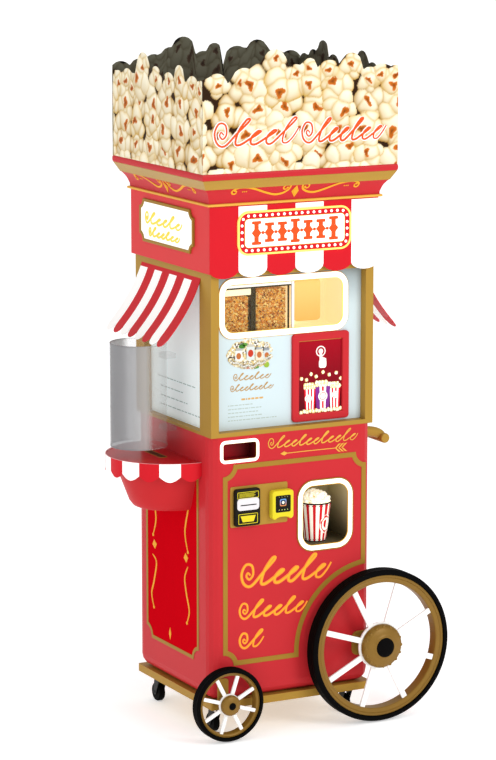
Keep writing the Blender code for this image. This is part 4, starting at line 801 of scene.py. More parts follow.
def popcorn_heap(across, up, centres, rng):
    """Colour and height of a heap of large popcorn at every point of a grid. The cream, the yellow tone and
    the brown hulls are the popcorn's own colour; painted light from the upper left and painted shade at lobe
    edges, in creases, low down and in the gaps between pieces are baked into the colour.
    """
    top = np.full(across.shape, -1.0)
    below = np.full(across.shape, -1.0)
    colour = np.zeros(across.shape + (3,))
    # the ground between pieces starts dark brown: painted shade in the gaps
    colour[:] = (0.060, 0.034, 0.006)
    cream, butter_shade = np.array(rgb(255, 250, 228)[:3]), np.array(rgb(226, 184, 92)[:3])
    for x, y, size, rise in centres:
        lobes = [(x, y, size * 0.66, 0.10)]
        first = rng.uniform(0, math.tau)
        count = rng.integers(3, 6)
        for number in range(count):
            turn = first + math.tau * number / count + rng.uniform(-0.25, 0.25)
            reach = size * rng.uniform(0.44, 0.62)
            lobes.append((x + reach * math.cos(turn), y + reach * math.sin(turn),
                          size * rng.uniform(0.40, 0.60), rng.uniform(0.0, 0.25)))
        warm = rng.uniform(0.0, 1.0)
        for lobe_x, lobe_y, radius, lift in lobes:
            away = (across - lobe_x) ** 2 + (up - lobe_y) ** 2
            inside = away < radius ** 2
            height = np.where(inside, np.sqrt(np.maximum(radius ** 2 - away, 0)) + rise + lift * size * 0.4,
                              -1.0)
            wins = height > top
            below = np.where(wins, top, np.maximum(below, np.where(inside, height, -1.0)))
            edge = np.clip(np.sqrt(away) / radius, 0, 1) ** 3
            # painted light from the upper left; butter yellow mixes in toward lobe edges and away from the
            # light as painted shade
            light = np.clip(((up - lobe_y) * 0.75 + (across - lobe_x) * 0.35) / radius * 0.6 + 0.62, 0, 1)
            shade = np.clip(edge * (0.25 + 0.55 * warm) + 0.55 * (1 - light), 0, 1)
            lit_tint = (cream * (1 - shade[..., None]) + butter_shade * shade[..., None]) * (0.66 + 0.34 * light)[...,
                                                                                                        None]
            colour = np.where(wins[..., None], lit_tint, colour)
            top = np.maximum(top, height)
        spot_x, spot_y = x + rng.uniform(-0.25, 0.25) * size, y + rng.uniform(-0.25, 0.25) * size
        turn = rng.uniform(0, math.pi)
        side = (across - spot_x) * math.cos(turn) + (up - spot_y) * math.sin(turn)
        along = (up - spot_y) * math.cos(turn) - (across - spot_x) * math.sin(turn)
        wave = 1 + 0.25 * np.sin(np.arctan2(along, side) * 3 + first)
        away = np.sqrt((side / 0.17) ** 2 + (along / 0.27) ** 2) / (size * wave)
        spot = (away < 1) & (top > rise + size * 0.2)
        hull = np.array(rgb(208, 112, 26)[:3]) * away.clip(0, 1)[..., None] ** 0.7 + \
            np.array(rgb(92, 40, 6)[:3]) * (1 - away.clip(0, 1)[..., None] ** 0.7)
        colour = np.where(spot[..., None], hull, colour)
        top = np.where(spot, top - 0.006 * (1 - away.clip(0, 1)), top)
    # painted shade: darker in creases where lobes meet, and darker the lower a point lies
    crease_shade_free = np.clip((top - below) / 0.012, 0, 1)[..., None] ** 0.6
    depth = np.clip((top - 0.010) / 0.036, 0, 1)[..., None] ** 1.2
    colour *= crease_shade_free + (1 - crease_shade_free) * np.array((0.80, 0.66, 0.40))
    colour *= depth + (1 - depth) * np.array((0.52, 0.36, 0.12))
    return colour, top


def make_board(side, seed):
    node = f"topper_{side}"
    rng = np.random.default_rng(seed)
    low, high = span(node, side)
    to_side = side_plane(side).inverted()
    rim = sorted(((to_side @ vert.co).x, (to_side @ vert.co).y) for vert in NODES[node].data.vertices)
    rim = np.array([spot for spot in rim if spot[1] > low.y + 0.02])
    columns = np.linspace(low.x, high.x, int((high.x - low.x) / 0.0034) + 1)
    keep = np.unique(rim[:, 0].round(5), return_index=True)[1]
    crest = np.interp(columns, rim[keep, 0], rim[keep, 1])
    rows = int((high.y - low.y) / 0.0036) + 1
    share = np.linspace(0, 1, rows)[:, None]
    across = np.broadcast_to(columns, (rows, len(columns)))
    up = low.y + (crest - low.y)[None, :] * share
    centres = []
    height = low.y - 0.03
    while height < high.y + 0.03:
        left = low.x - 0.05 + rng.uniform(0, 0.04)
        while left < high.x + 0.06:
            x, y = left + rng.uniform(-0.008, 0.008), height + rng.uniform(-0.012, 0.012)
            crown = float(np.interp(x, columns, crest))
            if y < crown - 0.050:
                centres.append((x, y, rng.uniform(0.066, 0.088), rng.uniform(0.0, 0.040)))
            left += 0.122
        height += 0.086
    peaks = [i for i in range(3, len(columns) - 3)
             if crest[i] >= crest[i - 3:i + 4].max() and crest[i] > low.y + 0.1]
    used = -1.0
    for i in peaks:
        if columns[i] - used > 0.03:
            used = columns[i]
            centres.append((columns[i], crest[i] - 0.044, 0.054, 0.024))
    rng.shuffle(centres)
    bend_x = 0.004 * np.sin(up * 90 + 1.3) * np.sin(across * 70)
    bend_y = 0.004 * np.sin(across * 85 + 0.7)
    colour, top = popcorn_heap(across + bend_x, up + bend_y, centres, rng)
    relief = np.clip((top - 0.018) / 0.070, 0, 1)
    crest_fade = np.minimum(1, (1 - share) * 12)
    out = high.z - 0.0042 + 0.0042 * relief * (0.35 + 0.65 * crest_fade)
    # the inner face carries the print mirrored, greyed and darkened: painted shade inside the topper
    shaded_back_colour = colour[:, ::-1]
    grey = shaded_back_colour.mean(axis=2, keepdims=True)
    shaded_back_colour = (shaded_back_colour * 0.35 + grey * 0.65) * np.array((0.16, 0.165, 0.125))
    sheet = [np.stack([across, up, out], -1), np.stack([across, up, np.full_like(up, low.z)], -1)]
    points = np.concatenate([s.reshape(-1, 3) for s in sheet])
    paints = np.concatenate([colour.reshape(-1, 3), shaded_back_colour.reshape(-1, 3)])
    grid = np.arange(rows * len(columns)).reshape(rows, -1)
    other = grid + grid.size
    a, b, c, d = grid[:-1, :-1], grid[:-1, 1:], grid[1:, 1:], grid[1:, :-1]
    faces = [np.stack([a, b, c, d], -1).reshape(-1, 4), np.stack([a, d, c, b], -1).reshape(-1, 4) + grid.size]
    for near, far in ((grid[0], other[0]), (other[-1], grid[-1]), (other[:, 0], grid[:, 0]),
                      (grid[:, -1], other[:, -1])):
        faces.append(np.stack([far[:-1], far[1:], near[1:], near[:-1]], -1))
    mesh = bpy.data.meshes.new(node)
    mesh.from_pydata(points.tolist(), [], np.concatenate(faces).tolist())
    attribute = mesh.attributes.new("paint", "FLOAT_COLOR", "POINT")
    attribute.data.foreach_set("color", np.c_[paints, np.ones(len(paints))].ravel().astype(np.float32))
    piece(f"popcorn_board_{side}", mesh, ["popcorn_print"], stands_for=[node],
          side=side, sharp=70)
    return high.z


board_front = make_board("front", 11)
for number, side in enumerate(("left", "right", "back")):
    make_board(side, 21 + number)

bm = bmesh.new()
for start, length, height, loops, seed in (((-0.362, 2.292), 0.315, 0.104, 4, 6),
                                           ((0.004, 2.290), 0.330, 0.092, 6, 7)):
    line = smooth_line(pen_loops(start, length, height, loops, slant=0.45, seed=seed), 6)
    add_stroke(bm, line, 0.0165, board_front - 0.002, board_front + 0.0006, thin=0.75, finish_number=1)
    add_stroke(bm, line, 0.0080, board_front - 0.002, board_front + 0.0022, thin=0.5, finish_number=0)
piece("board_flourish", bm, ["vermilion", "white_gloss"], side="front")


# ---------------------------------------------------------------- kernel window

def make_kernel_window():
    low, high = span("kernel_window_ring")
    outline = ring_line(low, high, 0.060, 10)
    bm = bmesh.new()
    add_rim(bm, lambda inset: outline(0.002 + inset), 0.022, low.z, high.z, 0.003)
    add_rim(bm, outline, 0.003, low.z, high.z - 0.003, 0.001, finish_number=1)
    add_rim(bm, lambda inset: outline(0.0225 + inset), 0.0025, low.z, high.z - 0.0015, 0.001, finish_number=2)
    piece("kernel_ring", bm, ["lamp_white", "gold_line", "lamp_yellow"],
          stands_for=["kernel_window_ring"], side="front")
    pane_back = span("kernel_window_pane")[0].z
    near = pane_back - 0.004
    bm = bmesh.new()
    bin_right = span("kernel_bin_right")[1].x
    bin_left, left_bin = span("kernel_bin_left")[0].x, span("kernel_bin_left")[1]
    add_box(bm, (bin_left + 0.004, 1.7375, near - 0.012), (bin_right + 0.014, 1.7470, near))
    add_box(bm, (bin_right + 0.016, 1.552, near - 0.008), (bin_right + 0.026, 1.7470, near + 0.001))
    add_box(bm, (bin_left + 0.004, 1.7310, near - 0.009), (bin_right + 0.014, 1.7372, near - 0.002), 1)
    for x, wide in ((bin_left - 0.003, 0.006), (left_bin.x + 0.002, 0.020), (bin_right + 0.002, 0.005)):
        add_box(bm, (x, 1.549, near - 0.010), (x + wide, 1.7308, near - 0.003), 1)
    add_box(bm, (bin_left + 0.003, left_bin.y + 0.001, near - 0.010),
            (left_bin.x + 0.002, 1.7309, near - 0.004), 2)
    piece("window_rails", bm, ["white_gloss", "dark_olive", "glowing_warm_wall"], side="front")
    bm = bmesh.new()
    add_plate(bm, rounded_rect(bin_right + 0.029, 1.590, bin_right + 0.142, 1.7490, 0.016), near - 0.010,
              near - 0.004, 0.001)
    piece("amber_panel", bm, ["amber_panel"], side="front")
    kernel = bmesh.new()
    bmesh.ops.create_icosphere(kernel, subdivisions=1, radius=0.0052)
    for vert in kernel.verts:
        vert.co.x *= 0.72 + 0.25 * (vert.co.z > 0)
        vert.co.z *= 1.15
    kernel = mesh_of(kernel)
    for name, seed in (("kernel_bin_left", 1), ("kernel_bin_right", 2)):
        low, high = span(name)
        bm = bmesh.new()
        add_box(bm, (low.x + 0.007, low.y + 0.005, low.z + 0.007),
                (high.x - 0.007, high.y - 0.010, high.z - 0.0075))
        heap = mesh_of(bm)
        strewn = repeated(HEAP, heap.copy(), kernel.copy(), "corn", Spacing=0.0062, Smallest=0.8,
                          Largest=1.15, Seed=seed)
        joined = bmesh.new()
        joined.from_mesh(heap)
        joined.from_mesh(strewn)
        piece(f"{name}_corn", joined, ["corn"], side="front", mend=False)


make_kernel_window()


# ---------------------------------------------------------------- flat pictures

CREAM = [rgb(252, 246, 222), rgb(244, 232, 188), rgb(236, 214, 150), rgb(255, 252, 240)]


def draw_popcorn(bm, x, y, size, level, rng):
    """One piece of popcorn: round lobes in cream and a small brown hull."""
    draw(bm, disc(x, y, size * 1.02, steps=10), level, rgb(190, 150, 84))
    first = rng.uniform(0, math.tau)
    for number in range(4):
        turn = first + math.tau * number / 4
        draw(bm, disc(x + 0.5 * size * math.cos(turn), y + 0.5 * size * math.sin(turn), size * 0.52, steps=9),
             level + 1, CREAM[rng.integers(0, 3)])
    draw(bm, disc(x, y, size * 0.42, steps=8), level + 2, CREAM[3])
    draw(bm, disc(x + size * 0.2, y - size * 0.15, size * 0.17, size * 0.1, 6), level + 3, rgb(150, 82, 26))


def draw_bucket(bm, low_x, high_x, low_y, high_y, colours, level, rng, label):
    """A striped bucket with a round label, filled with popcorn."""
    taper = (high_x - low_x) * 0.09
    count = len(colours)
    for number, colour in enumerate(colours):
        a, b = number / count, (number + 1) / count
        width, foot = high_x - low_x, high_x - low_x - 2 * taper
        draw(bm, [(low_x + taper + foot * a, low_y), (low_x + taper + foot * b, low_y),
                  (low_x + width * b, high_y), (low_x + width * a, high_y)], level, colour,
             tuple(min(1.0, c * 1.25) for c in colour[:3]) + (1,))
    x, y, radius = label
    for number, (size, colour) in enumerate(((1.0, rgb(250, 246, 236)), (0.74, rgb(200, 40, 44)),
                                             (0.62, rgb(250, 246, 236)))):
        draw(bm, disc(x, y, radius * size, steps=20), level + 1 + number, colour)
    for number in range(9):
        x = low_x + (high_x - low_x) * (number % 5 + 0.5) / 5
        draw_popcorn(bm, x, high_y + 0.004 + 0.009 * (number // 5), 0.0085, level + 2 + number // 5, rng)


def make_screen():
    low, high = span("screen_bezel")
    inner_low, inner_high = span("touch_screen")
    rng = np.random.default_rng(9)
    edge = inner_low.x - low.x - 0.0005
    outline = ring_line(low, high, 0.014, 6)
    bm = bmesh.new()
    add_rim(bm, outline, edge, low.z, high.z, 0.004)
    piece("screen_frame", bm, ["red_enamel"], stands_for=["screen_bezel"],
          side="front")
    a, b, c, d = inner_low.x, inner_low.y, inner_high.x, inner_high.y
    bm = bmesh.new()
    draw(bm, bar(a, b, c, d), 1, rgb(186, 142, 60))
    draw(bm, bar(a + 0.003, b + 0.003, c - 0.003, d - 0.003), 2, rgb(74, 4, 14), rgb(150, 6, 26))
    white, red, pale = rgb(252, 248, 240), rgb(206, 22, 36), rgb(236, 226, 220)
    middle = (a + c) / 2 + 0.004
    draw(bm, disc(middle - 0.004, 1.470, 0.021, steps=28), 3, pale)
    draw(bm, disc(middle - 0.004, 1.470, 0.0165, steps=28), 4, rgb(146, 8, 26))
    draw(bm, disc(middle - 0.004, 1.470, 0.010, steps=20), 5, pale)
    draw(bm, rounded_rect(middle - 0.009, 1.415, middle + 0.001, 1.472, 0.0045, 0, 4), 6, white)
    draw(bm, rounded_rect(middle - 0.012, 1.405, middle + 0.020, 1.437, 0.009, 0, 4), 7, white)
    for number in range(3):
        left = middle + 0.0015 + 0.0062 * number
        draw(bm, rounded_rect(left, 1.425, left + 0.005, 1.448 - 0.003 * number, 0.0024, 0, 3), 8, white)
    purple = rgb(112, 40, 120)
    draw_bucket(bm, 0.068, 0.118, 1.243, 1.330, [red, white, red, white, red, white, red], 4, rng,
                (0.086, 1.290, 0.015))
    draw_bucket(bm, 0.180, 0.226, 1.237, 1.326, [white, red, white, red, white, red], 4, rng,
                (0.203, 1.296, 0.014))
    draw_bucket(bm, 0.116, 0.182, 1.238, 1.336, [purple, purple, white, red, white, purple, purple], 9, rng,
                (0.149, 1.295, 0.020))
    for x, z in ((0.056, 1.369), (0.078, 1.363), (0.120, 1.373), (0.177, 1.376), (0.208, 1.381),
                 (0.228, 1.358), (0.150, 1.388), (0.098, 1.384)):
        draw_popcorn(bm, x, z, 0.0075, 4, rng)
    for number in range(14):
        draw_popcorn(bm, a + 0.012 + (c - a - 0.024) * number / 13, b + 0.010 + 0.004 * (number % 2), 0.008,
                     14, rng)
    piece("screen_picture", bm, ["lit_picture"], stands_for=["touch_screen"],
          side="front", out=inner_low.z + 0.001)


make_screen()


def broken_bar(rng, first, length, pitch, least):
    """Both ends of each part of a ruled line, which is broken into parts of random length."""
    steps = np.cumsum(rng.uniform(least, 1.0, max(3, int(length / pitch))))
    stops = first + length * steps / steps[-1]
    return zip([first, *stops], stops)


def make_panel_art():
    out = span("front_panel")[1].z
    rng = np.random.default_rng(4)
    bm = bmesh.new()
    for number in range(120):
        turn = rng.uniform(0, math.tau)
        away = math.sqrt(rng.uniform(0, 1))
        x = -0.165 + 0.092 * away * math.cos(turn)
        z = 1.480 + 0.050 * away * math.sin(turn) + 0.005
        draw_popcorn(bm, x, z, rng.uniform(0.0085, 0.0120), 1 + 2 * (number % 4), rng)
    for x, z, wide, tall, lid, body in ((-0.215, 1.483, 0.030, 0.052, rgb(178, 178, 170), rgb(228, 232, 226)),
                                        (-0.164, 1.490, 0.034, 0.060, rgb(196, 190, 176), rgb(214, 222, 218)),
                                        (-0.127, 1.482, 0.030, 0.050, rgb(170, 176, 176), rgb(232, 220, 196)),
                                        (-0.095, 1.478, 0.028, 0.046, rgb(150, 156, 160),
                                         rgb(206, 214, 214))):
        draw(bm, rounded_rect(x - wide / 2, z - tall / 2, x + wide / 2, z + tall / 2 - 0.008, 0.005, 0, 4),
             12, body)
        draw(bm, bar(x - wide * 0.42, z + tall / 2 - 0.009, x + wide * 0.42, z + tall / 2), 13, lid)
        draw(bm, disc(x, z - 0.004, wide * 0.34, tall * 0.24, 16), 13,
             [rgb(196, 60, 40), rgb(220, 160, 50), rgb(110, 150, 60), rgb(190, 110, 60)][int(x * -1000) % 4])
    for x, z, wide, tall, colour in ((-0.200, 1.515, 0.014, 0.008, rgb(70, 130, 50)),
                                     (-0.188, 1.521, 0.010, 0.007, rgb(96, 150, 60)),
                                     (-0.250, 1.471, 0.009, 0.009, rgb(60, 40, 34)),
                                     (-0.187, 1.437, 0.018, 0.006, rgb(200, 34, 24)),
                                     (-0.172, 1.434, 0.014, 0.005, rgb(214, 60, 30)),
                                     (-0.144, 1.431, 0.016, 0.006, rgb(80, 140, 50)),
                                     (-0.095, 1.437, 0.011, 0.011, rgb(150, 180, 60))):
        draw(bm, disc(x, z, wide, tall, 14), 15, colour)
    for number in range(26):
        x = -0.165 + 0.086 * (number / 12.5 - 1)
        draw_popcorn(bm, x, 1.437 - 0.004 * math.sin(number) + 0.030 * (number / 12.5 - 1) ** 2, 0.0085, 16,
                     rng)
    for x, z, long, tall in ((-0.203, 1.311, 0.097, 0.007), (-0.260, 1.290, 0.109, 0.0035),
                             (-0.260, 1.2755, 0.147, 0.0035), (-0.260, 1.261, 0.132, 0.0035),
                             (-0.260, 1.2465, 0.149, 0.0035), (-0.260, 1.232, 0.212, 0.0035)):
        for left, stop in broken_bar(rng, x, long, 0.014, 0.3):
            draw(bm, rounded_rect(left, z - tall / 2, stop - 0.003, z + tall / 2, tall * 0.4, 0, 2), 1,
                 rgb(176, 190, 182) if tall < 0.005 else rgb(214, 168, 96))
    piece("panel_picture", bm, ["picture"], side="front", out=out - 0.0001)
    bm = bmesh.new()
    for start, length, height, loops, seed in (((-0.234, 1.386), 0.150, 0.030, 6, 12),
                                               ((-0.247, 1.345), 0.175, 0.026, 8, 13)):
        add_flourish(bm, start, length, height, loops, seed, 0.0038, *raised(out, 0.0006), 0.6, steps=4)
    piece("panel_flourish", bm, ["copper_ink"], side="front")
    for side in ("left", "right"):
        out = span(f"{side}_panel", side)[1].z
        bm = bmesh.new()
        way = 1 if side == "left" else -1
        for first, last, z in ((-0.190, 0.140, 1.341), (-0.168, 0.034, 1.304), (-0.168, 0.073, 1.267),
                               (-0.168, 0.224, 1.232)):
            for left, stop in broken_bar(rng, first, last - first, 0.030, 0.4):
                edge = sorted((way * left, way * (stop - 0.006)))
                add_plate(bm, rounded_rect(edge[0], z - 0.002, edge[1], z + 0.002, 0.0015, 0, 2),
                          *raised(out, 0.0005))
        piece(f"{side}_panel_bars", bm, ["grey_ink"], side=side)


make_panel_art()


# ---------------------------------------------------------------- bag slot, payment and pickup

def make_bag_slot():
    low, high = span("bag_slot")
    wall = HALF_DEPTH + 0.0003
    outline = ring_line(low, high, 0.022)
    bm = bmesh.new()
    add_rim(bm, outline, 0.012, wall, high.z, 0.0018)
    add_rim(bm, lambda inset: outline(0.0116 + inset), 0.0012, wall, high.z - 0.001, 0.0004, 1)
    inner = outline(0.0122)
    add_loops(bm, [at_height(outline(0.0112), low.z), at_height(outline(0.0112), high.z - 0.003),
                   at_height(inner, high.z - 0.003), at_height(inner, low.z + 0.002)], closed=True,
              finish_number=2)
    add_plate(bm, outline(0.0112), low.z, low.z + 0.002, finish_number=2)
    piece("bag_slot_pocket", bm, ["lamp_white", "gold_line", "shaded_slot_red"],
          stands_for=["bag_slot"], side="front")
    bm = bmesh.new()
    add_flourish(bm, (-0.104, 1.120), 0.375, 0.046, 11, 15, 0.0048, *raised(wall, 0.0010), 0.5, slant=0.5)
    add_plate(bm, [(-0.055, 1.0935), (-0.038, 1.0855), (-0.022, 1.0935), (-0.038, 1.1015)],
              *raised(wall, 0.0012))
    add_stroke(bm, smooth_line([(-0.03, 1.0935), (0.08, 1.0940), (0.192, 1.0935)], 4), 0.0032,
               *raised(wall, 0.0010), thin=0.9)
    for number in range(3):
        left = 0.184 + 0.014 * number
        for way in (-1, 1):
            add_plate(bm, [(left, 1.0935), (left + 0.007, 1.0935 + way * 0.001),
                           (left + 0.026, 1.0935 + way * 0.017), (left + 0.015, 1.0935 + way * 0.015)][::way],
                      *raised(wall, 0.0014))
    piece("bag_slot_flourish", bm, ["gold_line"], side="front")


make_bag_slot()


def make_payment():
    low, high = Vector((-0.258, 0.831, 0)), Vector((-0.151, 0.975, span("bill_acceptor")[1].z))
    outline = ring_line(low, high, 0.010, 6)
    back = high.z - 0.0215
    bm = bmesh.new()
    add_plate(bm, outline(0), back, high.z - 0.004, 0.004, outline)
    add_plate(bm, outline(0.012), back - 0.10, back)
    face_out = high.z - 0.004
    top, foot, left, right = high.y - 0.010, low.y + 0.009, low.x + 0.008, high.x - 0.008
    for corner, other in (((left, top - 0.026), (right, top)),
                          ((left + 0.004, foot), (right - 0.004, foot + 0.040))):
        add_rim(bm, lambda inset: rounded_rect(*corner, *other, 0.003, inset, 3), 0.0022,
                *raised(face_out, 0.0008), 0.0003, 1)
    for number in range(4):
        z = top - 0.0065 - 0.0042 * number
        add_plate(bm, bar(left + 0.008, z - 0.0009, right - 0.014 - 0.006 * (number % 2), z + 0.0009),
                  *raised(face_out, 0.0006), finish_number=1)
    add_plate(bm, [(left + 0.022, foot + 0.008), (right - 0.022, foot + 0.008), (right - 0.013, foot + 0.032),
                   (left + 0.013, foot + 0.032)], *raised(face_out, 0.0009), finish_number=1)
    mouth = rounded_rect(low.x + 0.007, 0.893, high.x - 0.006, 0.940, 0.013, 0, 8)
    add_loops(bm, [at_height(mouth, face_out - 0.002), at_height(mouth, face_out + 0.001),
                   at_height(rounded_rect(low.x + 0.010, 0.896, high.x - 0.009, 0.937, 0.012, 0, 8),
                             high.z - 0.0005)], finish_number=2)
    add_plate(bm, bar(low.x + 0.020, 0.912, high.x - 0.019, 0.916), high.z - 0.002, high.z)
    piece("bill_reader", bm, ["black_plastic", "yellow_plastic", "grey_white"],
          stands_for=["bill_acceptor"], side="front")

    low, high = Vector((-0.104, 0.845, 0)), Vector((-0.012, 0.957, span("card_reader")[1].z))
    back = high.z - 0.0275
    bm = bmesh.new()

    def face_line(inset):
        points = []
        for x, y in rounded_rect(low.x, low.y, high.x, high.y, 0.012, inset, 6):
            if y < low.y + inset + 0.001:
                y = low.y + inset
            points.append((x, y))
        middle = (low.x + high.x) / 2
        start = next(i for i, (x, y) in enumerate(points) if x > middle and y < low.y + 0.006 + inset)
        dip = [(middle + 0.030 * math.cos(a), low.y + inset + 0.0085 * math.sin(a))
               for a in (math.pi - math.pi * step / 8 for step in range(9))]
        return points[:start] + dip + points[start:] if start else dip + points

    add_plate(bm, face_line(0), back, high.z, 0.005, face_line)
    add_plate(bm, rounded_rect(low.x, low.y, high.x, high.y, 0.012, 0.012, 4), back - 0.04, back)
    screen = rounded_rect(low.x + 0.013, 0.872, high.x - 0.014, 0.938, 0.006, 0, 6)
    add_plate(bm, screen, high.z - 0.001, high.z + 0.0004, finish_number=1)
    piece("card_reader_case", bm, ["yellow_plastic", "black_plastic"],
          stands_for=["card_reader"], side="front")
    bm = bmesh.new()
    middle = (low.x + high.x) / 2
    draw(bm, rounded_rect(middle - 0.015, 0.896, middle + 0.013, 0.924, 0.006, 0, 5), 1, rgb(200, 120, 40),
         rgb(80, 150, 210))
    draw(bm, rounded_rect(middle - 0.011, 0.900, middle + 0.009, 0.920, 0.004, 0, 5), 2, rgb(20, 24, 34),
         rgb(40, 60, 96))
    draw(bm, disc(middle - 0.001, 0.910, 0.0055, steps=14), 3, rgb(244, 240, 214))
    for number in range(4):
        draw(bm, disc(middle - 0.018 + 0.012 * number, 0.882, 0.0018, steps=8), 1, rgb(210, 220, 120))
        draw(bm, disc(middle - 0.018 + 0.012 * number, 0.932, 0.0012, steps=8), 1, rgb(180, 190, 120))
    piece("card_screen_picture", bm, ["lit_picture"], side="front", out=high.z + 0.0003)


make_payment()


def make_pickup():
    low, high = span("pickup_ring")
    outline = ring_line(low, high, 0.070, 12)
    bm = bmesh.new()
    add_rim(bm, outline, 0.0045, low.z, high.z - 0.0010, 0.001, 2)
    add_rim(bm, lambda inset: outline(0.0042 + inset), 0.0183, low.z, high.z, 0.003)
    add_rim(bm, lambda inset: outline(0.0222 + inset), 0.0028, low.z, high.z - 0.0008, 0.0008, 1)
    piece("pickup_window_ring", bm, ["lamp_white", "gold_line", "gold_trim"],
          stands_for=["pickup_ring"], side="front")


make_pickup()


def make_cup():
    cup_low, cup_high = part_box("popcorn_cup")
    centre = ((cup_low.x + cup_high.x) / 2, (cup_low.y + cup_high.y) / 2, cup_low.z)
    tall, wide = cup_high.z - cup_low.z, (cup_high.x - cup_low.x) / 2
    foot, wall, segments, stripes = 0.042, 0.0015, 96, 14

    def radius(height):
        return foot + (wide - foot) * height / tall

    heights_up = [0.0, 0.004, 0.008, tall * 0.25, tall * 0.5, tall * 0.75, tall - 0.012, tall - 0.006,
                  tall - 0.001]
    profile = [(0.0, 0.002), (foot - 0.004, 0.002), (foot - 0.003, 0.0)]
    profile += [(radius(z) - 0.0003, z) for z in heights_up]
    profile += [(radius(tall) - 0.0003, tall), (radius(tall) - wall, tall), (foot - wall, 0.004),
                (0.0, 0.004)]
    bm = bmesh.new()
    add_turned(bm, profile, centre, segments)
    for side_face in bm.faces:
        middle = side_face.calc_center_median() - Vector(centre)
        out = math.hypot(middle.x, middle.y)
        if out > radius(middle.z) - 0.0012:
            share = (math.atan2(middle.y, middle.x) / math.tau * stripes) % 1.0
            side_face.material_index = 1 if share < 0.5 else 0
            if middle.z > tall - 0.006 or middle.z < 0.004:
                side_face.material_index = 2
    piece("striped_cup", bm, ["glowing_paper_white", "glowing_paper_red", "paper_black"], body="popcorn_cup",
          stands_for=["popcorn_cup"])
    bm = bmesh.new()
    label_turn, label_up = math.radians(-66), 0.070
    for level, size, label in ((0.0004, 1.0, 0), (0.0008, 0.80, 1), (0.0012, 0.70, 0)):
        points = [(0.029 * size * math.cos(a), 0.037 * size * math.sin(a))
                  for a in np.linspace(0, math.tau, 33)[:-1]]
        loops = []
        for offset in (-0.0010, level):
            loop = []
            for along, up in points:
                z = label_up + up
                reach = radius(z) + offset
                turn = label_turn + along / radius(z)
                loop.append((centre[0] + reach * math.cos(turn), centre[1] + reach * math.sin(turn),
                             centre[2] + z))
            loops.append(loop)
        add_loops(bm, loops, finish_number=label)
    piece("cup_label", bm, ["glowing_paper_white", "glowing_paper_red"], body="popcorn_cup")
    dots = bmesh.new()
    for z, size in ((tall - 0.0105, 0.0026), (0.0085, 0.0022)):
        for number in range(28):
            turn = math.tau * number / 28
            bmesh.ops.create_icosphere(dots, subdivisions=1, radius=size, matrix=Matrix.Translation(
                (centre[0] + (radius(z) - 0.0010) * math.cos(turn),
                 centre[1] + (radius(z) - 0.0010) * math.sin(turn),
                 centre[2] + z)))
    piece("cup_edge_dots", dots, ["paper_black"], body="popcorn_cup")
    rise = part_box("popcorn_fill")[1].z - cup_high.z
    bm = bmesh.new()
    rim = radius(tall) - 0.009
    profile = [(0.0, tall - 0.012 + rise * 0.75)] + [(rim * math.sin(a),
                                                      tall - 0.012 + rise * 0.75 * math.cos(a))
                                                     for a in (math.pi / 2 * s / 6 for s in range(1, 7))]
    profile += [(rim - 0.002, tall - 0.03), (0.0, tall - 0.03)]
    add_turned(bm, profile, centre, 32)
    dome = mesh_of(bm)
    core = dome.copy()
    corn = popcorn_item(np.random.default_rng(3), 0.0125)
    strewn = repeated(HEAP, dome, corn, "popcorn", Spacing=0.0145, Smallest=0.8, Largest=1.15, Seed=4)
    joined = bmesh.new()
    joined.from_mesh(core)
    # the dome under the pieces is tan: painted shade where it shows in the gaps
    layer = joined.verts.layers.float_color.new("paint")
    for vert in joined.verts:
        vert[layer] = rgb(206, 176, 108)
    joined.from_mesh(strewn)
    hidden = [vert for vert in joined.verts if vert.co.z < centre[2] + tall - 0.034]
    bmesh.ops.delete(joined, geom=hidden, context="VERTS")
    for vert in joined.verts:
        away = Vector((vert.co.x - centre[0], vert.co.y - centre[1]))
        up = vert.co.z - centre[2]
        limit = radius(up) - 0.0022 if vert.co.z < centre[2] + tall else radius(tall)
        if away.length > limit:
            away *= limit / away.length
            vert.co.x, vert.co.y = centre[0] + away.x, centre[1] + away.y
    piece("cup_popcorn", joined, ["popcorn"], body="popcorn_cup", stands_for=["popcorn_fill"],
          mend=False, sharp=80)


def popcorn_item(rng, size):
    """One popped kernel: round lobes grown together, pale outside and yellow in the folds; the yellow is
    partly the popcorn's own and partly painted shade.
    """
    bm = bmesh.new()
    bmesh.ops.create_icosphere(bm, subdivisions=3, radius=1.0)
    centres = []
    for number in range(7):
        up = -0.8 + 1.6 * (number + 0.5) / 7
        turn = number * 2.4 + rng.uniform(-0.3, 0.3)
        flat = math.sqrt(1 - up * up)
        centres.append((Vector((flat * math.cos(turn), flat * math.sin(turn), up)) * rng.uniform(0.48, 0.62),
                        rng.uniform(0.40, 0.54)))
    layer = bm.verts.layers.float_color.new("paint")
    for vert in bm.verts:
        ray = vert.co.normalized()
        reaches = []
        for centre, radius in centres:
            along = ray.dot(centre)
            apart = radius ** 2 - (centre.length_squared - along ** 2)
            reaches.append(along + math.sqrt(apart) if apart > 0 else 0.0)
        reaches.sort()
        far = max(reaches[-1], 0.42)
        # yellow deep in the folds between lobes: partly own colour, partly painted shade
        clear_of_fold_shade = min(1.0, (far - max(reaches[-2], 0.42)) / 0.22 + 0.35 * (far - 0.42) / 0.5)
        vert.co = ray * far * size
        vert[layer] = [a + (b - a) * clear_of_fold_shade for a, b in zip(rgb(224, 180, 96), rgb(255, 250, 232))]
    return mesh_of(bm)


make_cup()


# ---------------------------------------------------------------- awnings, tray, tube and handle

